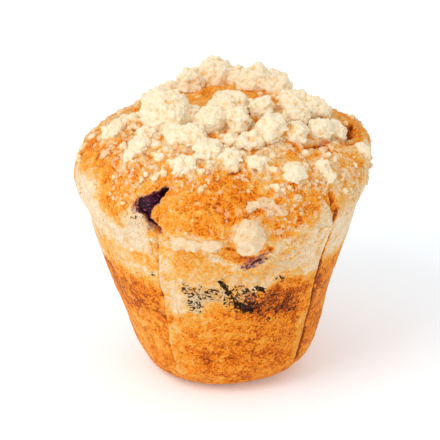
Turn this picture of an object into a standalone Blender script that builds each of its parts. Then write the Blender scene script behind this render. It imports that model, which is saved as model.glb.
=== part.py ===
"""A large blueberry crumb muffin that was baked in a folded square of paper: one cake body, the berries that
show in it and the biggest lumps of its crumb topping.

Lengths are in metres, +Z is up, and the origin is the middle of the flat base. An azimuth is measured in
degrees from the front, -Y, towards +X. A pitch is an angle in degrees above level, seen from CROWN_MIDDLE.
"""

import math
import random

import bmesh
import bpy
from mathutils import Matrix, Vector, noise
from mathutils.bvhtree import BVHTree

MM = 0.001
CLEARANCE = 0.3 * MM

# The cup of the muffin, below its rim
BASE_FLAT_RADIUS = 15.0 * MM
BASE_ROUNDING = 15.0 * MM
WALL_TAPER = math.radians(16.0)

# The crown, from the foot of its lip to the top of its dome
RIM_RADIUS = 45.0 * MM
RIM_HEIGHT = 63.0 * MM
LIP_HEIGHT = 7.0 * MM
DOME_HEIGHT = 22.3 * MM
DOME_FULLNESS = 2.05
CROWN_MIDDLE = Vector((0.0, 0.0, 48.0 * MM))
CROWN_BLEND = 8.0 * MM

# How the crown swells and drops round the muffin: azimuth of the middle, width in degrees, outward, upward
CROWN_SWELLS = (
    (88.0, 32.0, 1.7 * MM, 6.4 * MM),
    (-95.0, 34.0, 0.3 * MM, 0.2 * MM),
    (18.0, 30.0, 0.8 * MM, -3.0 * MM),
    (170.0, 50.0, 0.6 * MM, 3.0 * MM),
)
SWELL_DEPTH = 25.0 * MM
LUMPINESS = 0.9 * MM
LUMP_SCALE = 17.0 * MM
LUMPS_FROM_HEIGHT = 10.0 * MM
LUMPS_FULL_HEIGHT = 30.0 * MM

# The steps that the paper's four folds left down the wall: azimuth halfway down, and depth at the rim. The
# panels at the front and the back stand proud of the two at the sides, and widen towards the base.
FOLDS = ((-28.0, 1.0 * MM), (48.0, 2.0 * MM), (152.0, 1.4 * MM), (242.0, 1.2 * MM))
FOLD_FLARE = 2.5
FOLD_REACH = 13.0
FOLD_FROM_HEIGHT = 6.0 * MM
FOLD_LEAST_SHARE = 0.35
FOLD_SQUEEZE = 0.22
FOLD_SQUEEZE_REACH = 14.0
PANEL_FLATNESS = 0.9 * MM

# Where the foot of the wall is leaner or fuller than the circle: azimuth of the middle and
# width in degrees, then how far outward
FOOT_SWELLS = ((-68.0, 42.0, -1.7 * MM), (80.0, 35.0, 0.8 * MM))
FOOT_FULL_HEIGHT = 14.0 * MM
FOOT_TOP = 34.0 * MM

# The split in the crown above the front left fold
SPLIT_DEPTH = 2.2 * MM
SPLIT_WIDTH = 5.0
SPLIT_MIDDLE_HEIGHT = 64.0 * MM
SPLIT_REACH = 9.0 * MM

# The hollows in the crown: azimuth, distance from the axis, depth and radius. One lies beside the raised
# right edge, and a wide one where the dome falls away at the back left.
HOLLOWS = (
    (79.0, 38.5 * MM, 3.2 * MM, 5.0 * MM),
    (-128.0, 25.0 * MM, 2.4 * MM, 15.0 * MM),
)

# The grid of the cake's surface
AROUND = 60
FILLET_STEPS = 4
WALL_STEPS = 7
LIP_STEPS = 3
DOME_STEPS = 12
ON_AXIS = 0.01 * MM

# Berries: azimuth, height, radius, and depth of the skin below the cake's surface. Each shows through a hole
# in the crust: azimuth, height, half its width, half its height, and its slant in degrees
BERRIES = {
    "berry_in_split": ((-34.0, 67.8 * MM, 4.9 * MM, 1.4 * MM), (-30.0, 68.8 * MM, 5.4 * MM, 3.6 * MM, 35.0)),
    "berry_under_rim": ((16.0, 48.8 * MM, 4.4 * MM, 0.8 * MM), (13.8, 50.2 * MM, 3.8 * MM, 2.0 * MM, 25.0)),
    "berry_in_wall": ((12.5, 36.4 * MM, 5.0 * MM, 0.6 * MM), (11.0, 37.4 * MM, 4.6 * MM, 3.9 * MM, -20.0)),
}
BERRY_ROUGHNESS = 0.25 * MM
BERRY_DETAIL = 3
CUTTER_DETAIL = 2
POCKET_FACETS = 1.07
HOLE_ROUGHNESS = 0.6 * MM
BUMPS_PER_BALL = 3.0

# Lumps of crumb topping that cling together, each as its humps in millimetres: azimuth, pitch, width,
# depth up the slope, and height above the crust
CRUMB_LUMPS = {
    "crumb_left_peak": ((-60, 63, 17, 15, 10.5), (-42, 71, 6, 6, 4.5)),
    "crumb_left_slope": ((-56, 53, 6, 8, 3.6), (-50, 45.5, 6, 7, 3.2)),
    "crumb_front_left": ((-36, 57, 7, 8, 3.6), (-23, 57.5, 7, 8, 4.6)),
    "crumb_arch": ((-12, 69, 8.5, 10, 6.5), (30, 82.5, 12.5, 11.5, 5.6), (20, 68.5, 6.5, 10, 6.2)),
    "crumb_arch_right": ((66, 70.5, 7.5, 7, 4.8),),
    "crumb_front_middle": ((7, 58, 4.6, 5, 2.6), (22, 55.5, 9, 6, 3.6)),
    "crumb_round": ((41, 56.5, 8.5, 8, 7.6), (53.5, 51, 6.8, 7, 5.4)),
    "crumb_right_slope": ((88, 59, 8.5, 9, 6), (86, 51.5, 7.6, 9, 4.8), (70, 56, 7, 8, 5.2)),
    "crumb_right_edge": ((68, 46.5, 6, 7, 4.4), (76.5, 42, 6, 7, 4.4)),
    "crumb_pale_patch": ((-9, 51.5, 7.5, 9, 3.2),),
    "crumb_low_left": ((-19, 43.5, 6.6, 7, 1.9),),
    "crumb_low_middle": ((5.5, 47.5, 5.8, 6, 2.8),),
    "crumb_low_right": ((20, 44.5, 5.8, 5, 2.4),),
    "crumb_front_right": ((35, 36.5, 6.4, 6.4, 4.0),),
    "crumb_right_ridge": ((50.5, 33.5, 4.2, 8.5, 2.6),),
    "crumb_rim": ((10.5, 18, 9.2, 10.4, 4.2),),
    "crumb_lip": ((-13, 15, 9, 3.6, 2.4), (-4, 15, 8, 3.2, 2.2)),
    "crumb_left_edge": ((-79, 43, 6.2, 6, 3.2),),
    "crumb_left_low": ((-51, 41, 4.2, 5, 2.4),),
    "crumb_far_right": ((75, 32, 4.6, 5, 2.4),),
    "crumb_back_peak": ((183, 52.5, 11, 11, 8.3), (202, 55, 7.5, 9, 6.8), (169, 54, 6, 8, 5.6)),
    "crumb_back_right": ((152, 58, 11, 10, 7.1), (135, 56, 9, 9, 4.8)),
    "crumb_back_middle": ((181, 38, 9.5, 8.5, 5.0),),
    "crumb_back_slope_right": ((152, 42, 8.5, 8, 4.4),),
    "crumb_back_slope_left": ((203, 33, 7, 7, 3.8), (212, 31, 5, 6, 3.2)),
    "crumb_back_low_right": ((127, 22, 7, 6.5, 3.4),),
    "crumb_back_low_middle": ((163, 28, 6.5, 6, 3.4),),
    "crumb_back_low": ((189, 21, 8, 7.5, 3.8),),
    "crumb_back_low_left": ((219, 21, 8.5, 7, 3.6),),
    "crumb_back_edge": ((238, 17, 6, 6, 3.0),),
}
HUMP_BELOW = 0.38
HUMP_DETAIL = 3
KNOB_DETAIL = 2
KNOBS_LEAST = 9
KNOBS_PER_LENGTH = 1.0
KNOB_LOWEST = -0.15
KNOB_RADII = (1.1 * MM, 2.1 * MM)
KNOB_SHARES = (0.28, 0.48)
KNOB_DEPTH = 0.84
LUMP_VOXEL = 0.65 * MM
FACES_PER_LENGTH = 6.2 / MM
LEAST_FACES = 72
SEED = 11


def smooth_step(low, high, value):
    share = min(1.0, max(0.0, (value - low) / (high - low)))
    return share * share * (3.0 - 2.0 * share)


def angle_between(azimuth, other):
    """How far azimuth lies past other, from -180 to 180 degrees."""
    return (azimuth - other + 180.0) % 360.0 - 180.0


def outward(azimuth):
    turn = math.radians(azimuth)
    return Vector((math.sin(turn), -math.cos(turn), 0.0))


def wall_radius(height):
    """The radius of the tapered wall, which runs tangent to the base's rounding."""
    tangent = BASE_ROUNDING * math.tan((math.pi / 2 - WALL_TAPER) / 2)
    return BASE_FLAT_RADIUS + tangent + height * math.tan(WALL_TAPER)


def crown_point(turn):
    """(radius, height) on the dome's rounded profile, where turn runs from 0 at the rim to a right angle."""
    power = 2.0 / DOME_FULLNESS
    radius = RIM_RADIUS * max(0.0, math.cos(turn)) ** power
    return radius, RIM_HEIGHT + DOME_HEIGHT * math.sin(turn) ** power


def cake_profile():
    """(radius, height) from the top of the dome down the outside to the middle of the base."""
    points = [(0.0, RIM_HEIGHT + DOME_HEIGHT)]
    for step in range(DOME_STEPS - 1, -1, -1):
        points.append(crown_point(math.pi / 2 * step / DOME_STEPS))
    foot = RIM_HEIGHT - LIP_HEIGHT
    for step in range(1, LIP_STEPS + 1):
        share = step / LIP_STEPS
        overhang = (RIM_RADIUS - wall_radius(foot)) * (1.0 - share * share)
        points.append((wall_radius(foot) + overhang, RIM_HEIGHT - LIP_HEIGHT * share))
    fillet_top = BASE_ROUNDING * (1.0 - math.sin(WALL_TAPER))
    for step in range(1, WALL_STEPS + 1):
        height = foot + (fillet_top - foot) * step / WALL_STEPS
        points.append((wall_radius(height), height))
    for step in range(1, FILLET_STEPS + 1):
        turn = -WALL_TAPER - (math.pi / 2 - WALL_TAPER) * step / FILLET_STEPS
        radius = BASE_FLAT_RADIUS + BASE_ROUNDING * math.cos(turn)
        points.append((radius, BASE_ROUNDING * (1.0 + math.sin(turn))))
    points.append((0.0, 0.0))
    return points


def evaluated_mesh(obj, name):
    """A new mesh of the object as its modifiers leave it."""
    graph = bpy.context.evaluated_depsgraph_get()
    mesh = bpy.data.meshes.new_from_object(obj.evaluated_get(graph))
    mesh.name = name
    return mesh


def turned_mesh(name, profile, steps):
    """A closed mesh made by turning a profile round the Z axis."""
    outline = bpy.data.meshes.new(name + "_outline")
    edges = [(index, index + 1) for index in range(len(profile) - 1)]
    outline.from_pydata([(radius, 0.0, height) for radius, height in profile], edges, [])
    lathe = bpy.data.objects.new(name + "_lathe", outline)
    bpy.context.scene.collection.objects.link(lathe)
    screw = lathe.modifiers.new("Turn", "SCREW")
    screw.steps = screw.render_steps = steps
    screw.use_merge_vertices = True
    screw.merge_threshold = ON_AXIS
    mesh = evaluated_mesh(lathe, name)
    bpy.data.objects.remove(lathe)
    return mesh


def proud_sign(index):
    """+1 where the proud panel starts at this fold, and -1 where it ends there."""
    return 1.0 if index % 2 == 0 else -1.0


def fold_azimuth(index, height):
    return FOLDS[index][0] + proud_sign(index) * FOLD_FLARE * (2.0 * height / RIM_HEIGHT - 1.0)


def squeezed(azimuth, height):
    """An azimuth of the even grid, moved so that the grid's columns crowd at the nearest fold."""
    middles = [FOLDS[index][0] for index in range(len(FOLDS))]
    nearest = min(range(len(FOLDS)), key=lambda index: abs(angle_between(azimuth, middles[index])))
    away = angle_between(azimuth, middles[nearest])
    share = smooth_step(0.0, FOLD_SQUEEZE_REACH, abs(away))
    shift = fold_azimuth(nearest, height) - middles[nearest]
    return middles[nearest] + away * (FOLD_SQUEEZE + (1.0 - FOLD_SQUEEZE) * share) + shift * (1.0 - share)


def fold_offset(azimuth, height):
    """How far the paper's folds push the wall out or in at this place."""
    grown = smooth_step(FOLD_FROM_HEIGHT, RIM_HEIGHT, height)
    size = FOLD_LEAST_SHARE + (1.0 - FOLD_LEAST_SHARE) * grown
    size *= smooth_step(0.0, FOLD_FROM_HEIGHT, height)
    size *= 1.0 - smooth_step(RIM_HEIGHT, RIM_HEIGHT + CROWN_BLEND, height)
    offset = 0.0
    for index, (_, depth) in enumerate(FOLDS):
        away = angle_between(azimuth, fold_azimuth(index, height)) * proud_sign(index)
        offset += math.copysign(depth / 2.0 * size * math.exp(-abs(away) / FOLD_REACH), away)
    return offset


def panel_offset(azimuth, height):
    """How far the wall is pulled in at the middle of a panel, and out at the panel's edges."""
    share = 0.0
    for index, (start, _) in enumerate(FOLDS):
        span = angle_between(FOLDS[(index + 1) % len(FOLDS)][0], start) % 360.0
        along = angle_between(azimuth, start) % 360.0
        if along < span:
            share = math.sin(math.pi * along / span)
    on_wall = smooth_step(0.0, FOLD_FROM_HEIGHT, height)
    on_wall *= 1.0 - smooth_step(RIM_HEIGHT, RIM_HEIGHT + CROWN_BLEND, height)
    return PANEL_FLATNESS * (0.5 - share) * on_wall


def foot_offset(azimuth, height):
    """How far the foot of the wall is drawn in or swells out at this place."""
    offset = 0.0
    for middle, width, swell_out in FOOT_SWELLS:
        offset += swell_out * math.exp(-((angle_between(azimuth, middle) / width) ** 2))
    on_foot = smooth_step(0.0, FOLD_FROM_HEIGHT, height)
    return offset * on_foot * (1.0 - smooth_step(FOOT_FULL_HEIGHT, FOOT_TOP, height))


def crown_swell(azimuth):
    """(outward, upward) movement of the crown's rim at this azimuth."""
    out, rise = 0.0, 0.0
    for middle, width, swell_out, swell_up in CROWN_SWELLS:
        share = math.exp(-((angle_between(azimuth, middle) / width) ** 2))
        out += swell_out * share
        rise += swell_up * share
    return out, rise


def split_offset(azimuth, height):
    """How far the crown is drawn in at the split above the front left fold."""
    across = math.exp(-((angle_between(azimuth, fold_azimuth(0, RIM_HEIGHT)) / SPLIT_WIDTH) ** 2))
    along = math.exp(-(((height - SPLIT_MIDDLE_HEIGHT) / SPLIT_REACH) ** 2))
    return -SPLIT_DEPTH * across * along


def hollow_offset(azimuth, radius, height):
    """How far the top of the crown sinks in its hollows at this place."""
    offset = 0.0
    for middle, reach, depth, size in HOLLOWS:
        away = (outward(azimuth) * radius - outward(middle) * reach).length
        offset -= depth * math.exp(-((away / size) ** 2))
    return offset * smooth_step(RIM_HEIGHT, RIM_HEIGHT + CROWN_BLEND, height)


def shape_cake(mesh):
    """Turns the even round body into the uneven one: folded wall, swollen crown and soft lumps."""
    for vertex in mesh.vertices:
        x, y, height = vertex.co
        radius = math.hypot(x, y)
        if radius < ON_AXIS:
            continue
        azimuth = squeezed(math.degrees(math.atan2(x, -y)), height)
        reach_share = radius / RIM_RADIUS
        out, rise = crown_swell(azimuth)
        crown_share = smooth_step(RIM_HEIGHT - SWELL_DEPTH, RIM_HEIGHT, height) * reach_share
        lump = noise.noise(Vector((x, y, height)) / LUMP_SCALE) * LUMPINESS
        lump *= smooth_step(LUMPS_FROM_HEIGHT, LUMPS_FULL_HEIGHT, height)
        moved = radius + fold_offset(azimuth, height) + panel_offset(azimuth, height)
        moved += foot_offset(azimuth, height) + split_offset(azimuth, height)
        moved += out * crown_share + lump * reach_share
        on_dome = smooth_step(RIM_HEIGHT, RIM_HEIGHT + DOME_HEIGHT, height)
        vertex.co = outward(azimuth) * moved
        lifted = height + rise * crown_share * reach_share + lump * on_dome
        vertex.co.z = lifted + hollow_offset(azimuth, moved, height)


def surface_tree(mesh):
    form = bmesh.new()
    form.from_mesh(mesh)
    tree = BVHTree.FromBMesh(form)
    form.free()
    return tree


def place_on_crown(tree, azimuth, pitch):
    """(point, normal) where a ray from the crown's middle leaves the cake."""
    turn = math.radians(pitch)
    ray = outward(azimuth) * math.cos(turn) + Vector((0.0, 0.0, math.sin(turn)))
    point, normal, _, _ = tree.ray_cast(CROWN_MIDDLE, ray)
    return point, normal if normal.dot(ray) > 0.0 else -normal


def place_on_wall(tree, azimuth, height):
    """(point, direction) where a level ray from the axis leaves the cake."""
    ray = outward(azimuth)
    point, _, _, _ = tree.ray_cast(Vector((0.0, 0.0, height)), ray)
    return point, ray


def facing_frame(point, normal):
    """A frame at the point: X runs round the muffin, Y up the slope and Z out of the crust."""
    around = Vector((-point.y, point.x, 0.0)).normalized()
    around = (around - normal * around.dot(normal)).normalized()
    columns = (around, normal.cross(around), normal)
    return Matrix.Translation(point) @ Matrix(columns).transposed().to_4x4()


def add_object(name, mesh, collection):
    obj = bpy.data.objects.new(name, mesh)
    collection.objects.link(obj)
    return obj


def add_cutter(name, mesh, collection):
    cutter = add_object(name, mesh, collection)
    cutter.hide_render = True
    cutter.display_type = "WIRE"
    return cutter


def rough_ball(name, half_sizes, frame, roughness, detail):
    """A round body of the given half sizes in the frame, its surface uneven by the roughness."""
    form = bmesh.new()
    bmesh.ops.create_icosphere(form, subdivisions=detail, radius=1.0)
    for vertex in form.verts:
        uneven = roughness * noise.noise(vertex.co * BUMPS_PER_BALL + frame.translation / MM)
        larger = 1.0 + uneven / min(half_sizes)
        vertex.co = Vector(size * along * larger for size, along in zip(half_sizes, vertex.co))
    bmesh.ops.transform(form, matrix=frame, verts=form.verts)
    mesh = bpy.data.meshes.new(name)
    form.to_mesh(mesh)
    form.free()
    return mesh


def cut(obj, cutter, name):
    boolean = obj.modifiers.new(name, "BOOLEAN")
    boolean.operation = "DIFFERENCE"
    boolean.solver = "EXACT"
    boolean.object = cutter


def grown_mesh(mesh, name, distance):
    """A copy of the mesh with each vertex moved out along its normal."""
    form = bmesh.new()
    form.from_mesh(mesh)
    form.normal_update()
    shifts = [vertex.normal * distance for vertex in form.verts]
    for vertex, shift in zip(form.verts, shifts):
        vertex.co += shift
    grown = bpy.data.meshes.new(name)
    form.to_mesh(grown)
    form.free()
    return grown


def keep_largest_body(mesh):
    """Deletes the crumbs that a cut may leave beside the main body."""
    form = bmesh.new()
    form.from_mesh(mesh)
    left = set(form.verts)
    bodies = []
    while left:
        body, front = set(), [left.pop()]
        while front:
            vertex = front.pop()
            body.add(vertex)
            linked = [edge.other_vert(vertex) for edge in vertex.link_edges]
            front.extend(other for other in linked if other in left)
            left.difference_update(linked)
        bodies.append(body)
    largest = max(bodies, key=len)
    spare = [vertex for vertex in form.verts if vertex not in largest]
    bmesh.ops.delete(form, geom=spare, context="VERTS")
    form.to_mesh(mesh)
    form.free()


def surface_material(name, colour, roughness):
    material = bpy.data.materials.new(name)
    material.use_nodes = True
    shader = material.node_tree.nodes["Principled BSDF"]
    shader.inputs["Base Color"].default_value = (*colour, 1.0)
    shader.inputs["Roughness"].default_value = roughness
    shader.inputs["Metallic"].default_value = 0.0
    material.diffuse_color = (*colour, 1.0)
    return material


def add_hump(form, tree, hump, dice):
    """Adds one hump of crumb to the form: an egg-shaped core with knobs all over its upper side."""
    azimuth, pitch, width, depth, height = hump
    half = Vector((width / 2, depth / 2, height * (1.0 - HUMP_BELOW))) * MM
    point, normal = place_on_crown(tree, azimuth, pitch)
    frame = facing_frame(point, normal) @ Matrix.Translation((0.0, 0.0, height * HUMP_BELOW * MM))
    core = bmesh.ops.create_icosphere(form, subdivisions=HUMP_DETAIL, radius=1.0)["verts"]
    bmesh.ops.transform(form, matrix=frame @ Matrix.Diagonal((*half, 1.0)), verts=core)
    mean = sum(half) / len(half)
    for _ in range(int(KNOBS_LEAST + KNOBS_PER_LENGTH * (width + depth))):
        level = dice.uniform(KNOB_LOWEST, 1.0)
        turn = dice.uniform(0.0, 2.0 * math.pi)
        flat = math.sqrt(1.0 - level * level)
        spot = Vector((flat * math.cos(turn) * half.x, flat * math.sin(turn) * half.y, level * half.z))
        radius = min(dice.uniform(*KNOB_RADII), mean * dice.uniform(*KNOB_SHARES))
        knob = bmesh.ops.create_icosphere(form, subdivisions=KNOB_DETAIL, radius=radius)["verts"]
        bmesh.ops.transform(form, matrix=frame @ Matrix.Translation(spot * KNOB_DEPTH), verts=knob)


def lump_mesh(name, humps, tree, dice):
    """The humps and their knobs as one closed skin with few faces."""
    form = bmesh.new()
    for hump in humps:
        add_hump(form, tree, hump, dice)
    loose = bpy.data.meshes.new(name + "_loose")
    form.to_mesh(loose)
    form.free()
    lump = add_object(name + "_loose", loose, bpy.context.scene.collection)
    remesh = lump.modifiers.new("Skin", "REMESH")
    remesh.mode = "VOXEL"
    remesh.voxel_size = LUMP_VOXEL
    skin = evaluated_mesh(lump, name + "_skin")
    length = sum(max(width, depth) for _, _, width, depth, _ in humps) * MM
    skin.calc_loop_triangles()
    wanted = max(LEAST_FACES, FACES_PER_LENGTH * length)
    lump.modifiers.clear()
    lump.data = skin
    decimate = lump.modifiers.new("Fewer faces", "DECIMATE")
    decimate.ratio = min(1.0, wanted / len(skin.loop_triangles))
    mesh = evaluated_mesh(lump, name)
    bpy.data.objects.remove(lump)
    return mesh


def boxes_meet(mesh, other):
    """Whether the boxes round two meshes come within the clearance of each other."""
    for axis in range(3):
        mine = [vertex.co[axis] for vertex in mesh.vertices]
        its = [vertex.co[axis] for vertex in other.vertices]
        if min(mine) > max(its) + CLEARANCE or min(its) > max(mine) + CLEARANCE:
            return False
    return True


def add_lump(name, humps, tree, cake_clearance, neighbours, parts, dice):
    """Makes a lump that fits on the cake and beside the lumps that are already there."""
    lump = add_object(name, lump_mesh(name, humps, tree, dice), parts)
    cut(lump, cake_clearance, "Fit to the crust")
    helpers = []
    for other in neighbours:
        if boxes_meet(lump.data, other.data):
            grown = grown_mesh(other.data, other.name + "_clearance", CLEARANCE)
            helper = add_object(grown.name, grown, bpy.context.scene.collection)
            cut(lump, helper, "Fit beside " + other.name)
            helpers.append(helper)
    fitted = evaluated_mesh(lump, name)
    lump.modifiers.clear()
    lump.data = fitted
    for helper in helpers:
        bpy.data.objects.remove(helper)
    keep_largest_body(fitted)
    fitted.shade_smooth()
    return lump


def add_berry(name, berry, hole, cake, tree, parts, cutters):
    """Adds one berry, and cuts its pocket and the hole in the crust that shows it."""
    azimuth, height, radius, depth = berry
    surface, direction = place_on_wall(tree, azimuth, height)
    frame = facing_frame(surface - direction * (depth + radius), direction)
    mesh = rough_ball(name, (radius, radius, radius), frame, BERRY_ROUGHNESS, BERRY_DETAIL)
    mesh.shade_smooth()
    wide = radius * POCKET_FACETS + CLEARANCE
    pocket = rough_ball(name + "_pocket", (wide, wide, wide), frame, BERRY_ROUGHNESS, CUTTER_DETAIL)
    cut(cake, add_cutter(pocket.name, pocket, cutters), "Pocket of " + name)

    azimuth, height, half_width, half_height, slant = hole
    surface, direction = place_on_wall(tree, azimuth, height)
    frame = facing_frame(surface, direction) @ Matrix.Rotation(math.radians(slant), 4, "Z")
    half_sizes = (half_width, half_height, radius)
    opening = rough_ball(name + "_hole", half_sizes, frame, HOLE_ROUGHNESS, CUTTER_DETAIL)
    cut(cake, add_cutter(opening.name, opening, cutters), "Hole over " + name)
    return add_object(name, mesh, parts)


def clear_scene():
    for obj in list(bpy.data.objects):
        bpy.data.objects.remove(obj)


def new_collection(name):
    collection = bpy.data.collections.new(name)
    bpy.context.scene.collection.children.link(collection)
    return collection


def main():
    clear_scene()
    parts = new_collection("blueberry_crumb_muffin")
    cutters = new_collection("cutters")
    baked_cake = surface_material("baked cake", (0.84, 0.46, 0.17), 0.75)
    crumb = surface_material("crumb topping", (0.93, 0.78, 0.52), 0.85)
    berry_skin = surface_material("berry skin", (0.10, 0.03, 0.06), 0.40)

    cake_mesh = turned_mesh("cake", cake_profile(), AROUND)
    shape_cake(cake_mesh)
    cake_mesh.shade_smooth()
    cake_mesh.materials.append(baked_cake)
    cake = add_object("cake", cake_mesh, parts)
    tree = surface_tree(cake_mesh)
    for name, (berry, hole) in BERRIES.items():
        added = add_berry(name, berry, hole, cake, tree, parts, cutters)
        added.data.materials.append(berry_skin)

    clearance = grown_mesh(cake_mesh, "cake_clearance", CLEARANCE)
    cake_clearance = add_cutter(clearance.name, clearance, cutters)
    dice = random.Random(SEED)
    made = []
    for name, humps in CRUMB_LUMPS.items():
        lump = add_lump(name, humps, tree, cake_clearance, made, parts, dice)
        lump.data.materials.append(crumb)
        made.append(lump)


main()
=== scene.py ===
"""The looks of a large blueberry crumb muffin: its baked crust, its berries and its crumb topping.

Lengths are in metres, +Z is up, and the origin is the middle of the flat base. An azimuth is measured in
degrees from the front, -Y, towards +X. A pitch is an angle in degrees above level, seen from CROWN_MIDDLE.
"""

import math
import random

import bmesh
import bpy
import numpy as np
from mathutils import Matrix, Vector, noise
from mathutils.bvhtree import BVHTree


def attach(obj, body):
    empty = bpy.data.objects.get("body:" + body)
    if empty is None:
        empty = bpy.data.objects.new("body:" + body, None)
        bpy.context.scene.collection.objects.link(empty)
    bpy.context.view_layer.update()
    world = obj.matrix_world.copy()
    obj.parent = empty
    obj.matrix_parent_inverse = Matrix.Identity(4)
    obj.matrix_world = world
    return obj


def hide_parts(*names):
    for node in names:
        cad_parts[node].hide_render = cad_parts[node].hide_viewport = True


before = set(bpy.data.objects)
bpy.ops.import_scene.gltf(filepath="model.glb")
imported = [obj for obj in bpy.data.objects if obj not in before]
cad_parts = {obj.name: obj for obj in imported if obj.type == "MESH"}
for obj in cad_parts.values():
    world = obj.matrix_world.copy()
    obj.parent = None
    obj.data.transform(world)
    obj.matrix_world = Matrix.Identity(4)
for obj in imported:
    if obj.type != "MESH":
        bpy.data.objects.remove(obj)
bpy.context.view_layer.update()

MM = 0.001

# ---- The cake's own form, as the solid has it, on a finer grid ----

BASE_FLAT_RADIUS = 15.0 * MM
BASE_ROUNDING = 15.0 * MM
WALL_TAPER = math.radians(16.0)
RIM_RADIUS = 45.0 * MM
RIM_HEIGHT = 63.0 * MM
LIP_HEIGHT = 7.0 * MM
DOME_HEIGHT = 22.3 * MM
DOME_FULLNESS = 2.05
CROWN_MIDDLE = Vector((0.0, 0.0, 48.0 * MM))
CROWN_BLEND = 8.0 * MM
# Swells of the crown: azimuth, half width in degrees, how far out and how far up
CROWN_SWELLS = (
    (88.0, 32.0, 1.7 * MM, 6.4 * MM),
    (-95.0, 34.0, 0.3 * MM, 0.2 * MM),
    (18.0, 30.0, 0.8 * MM, -3.0 * MM),
    (170.0, 50.0, 0.6 * MM, 3.0 * MM),
)
SWELL_DEPTH = 25.0 * MM
LUMPINESS = 0.9 * MM
LUMP_SCALE = 17.0 * MM
LUMPS_FROM_HEIGHT = 10.0 * MM
LUMPS_FULL_HEIGHT = 30.0 * MM
# The folds that the paper left: azimuth and step
FOLDS = ((-28.0, 1.0 * MM), (48.0, 2.0 * MM), (152.0, 1.4 * MM), (242.0, 1.2 * MM))
FOLD_FLARE = 2.5
FOLD_REACH = 13.0
FOLD_FROM_HEIGHT = 6.0 * MM
FOLD_LEAST_SHARE = 0.35
# How far a fold wavers, in degrees, and the heights in millimetres that turn its two waves by a radian
FOLD_WAVER = 0.4
FOLD_LONG_WAVE = 4.3
FOLD_SHORT_WAVE = 1.9
FOLD_SQUEEZE = 0.22
FOLD_SQUEEZE_REACH = 14.0
PANEL_FLATNESS = 0.9 * MM
# Swells of the foot: azimuth, half width in degrees and how far out
FOOT_SWELLS = ((-68.0, 42.0, -1.7 * MM), (80.0, 35.0, 0.8 * MM))
FOOT_FULL_HEIGHT = 14.0 * MM
FOOT_TOP = 34.0 * MM
SPLIT_DEPTH = 2.2 * MM
SPLIT_WIDTH = 5.0
SPLIT_MIDDLE_HEIGHT = 64.0 * MM
SPLIT_REACH = 9.0 * MM
# Hollows in the crown: azimuth, distance from the axis, depth and half width
HOLLOWS = (
    (79.0, 38.5 * MM, 3.2 * MM, 5.0 * MM),
    (-128.0, 25.0 * MM, 2.4 * MM, 15.0 * MM),
)
# Each berry: azimuth, height, radius and how deep its skin lies under the crust
BERRIES = {
    "berry_in_split": (-34.0, 67.8 * MM, 4.9 * MM, 1.4 * MM),
    "berry_under_rim": (16.0, 48.8 * MM, 4.4 * MM, 0.8 * MM),
    "berry_in_wall": (12.5, 36.4 * MM, 5.0 * MM, 0.6 * MM),
}

# The ragged holes over them, as strokes of (azimuth, height, half width) in degrees and millimetres
HOLES = {
    "berry_in_split": (
        ((-32.6, 69.3, 1.7), (-30.4, 69.6, 2.2), (-28.2, 70.8, 1.5), (-26.2, 72.2, 0.8), (-24.6, 73.5, 0.7)),
        ((-31.6, 68.6, 2.1), (-29.8, 66.9, 1.1), (-28.8, 65.2, 0.6), (-27.0, 63.4, 0.45), (-24.7, 62.4, 0.4)),
    ),
    "berry_under_rim": (((12.8, 51.0, 0.3), (14.8, 52.0, 0.6), (16.2, 52.6, 0.3)),),
    "berry_in_wall": (
        ((0.3, 44.2, 0.7), (2.6, 41.4, 0.4), (5.0, 38.6, 0.5),
         (7.6, 36.0, 0.7), (11.0, 34.2, 1.2), (14.6, 33.4, 0.8)),
        ((16.4, 41.8, 0.4), (19.0, 40.4, 0.6)),
    ),
}
# How deep each hole is, and how ragged its edge
HOLE_DEPTHS = {"berry_in_split": 3.6 * MM, "berry_under_rim": 1.1 * MM, "berry_in_wall": 1.0 * MM}
HOLE_RAGGEDNESS = {"berry_in_split": 1.0, "berry_under_rim": 1.2, "berry_in_wall": 1.5}

# The grid: points round the cake, and rows on the base, its rounding, the wall, the rim and the dome
AROUND = 446
BASE_STEPS = 3
FILLET_STEPS = 22
WALL_STEPS = 82
LIP_STEPS = 14
DOME_STEPS = 84
TOP_RISE = 0.02 * MM

# ---- Fine relief of the crust ----

# Waves of unevenness: size, height on the dome, height on the wall
CRUST_WAVES = (
    (7.0 * MM, 0.55 * MM, 0.22 * MM),
    (3.2 * MM, 0.26 * MM, 0.13 * MM),
    (1.5 * MM, 0.12 * MM, 0.09 * MM),
)
PORE_SPACING = 2.6 * MM
PORE_RADIUS = 0.55 * MM
PORE_DEPTH = 0.5 * MM

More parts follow.
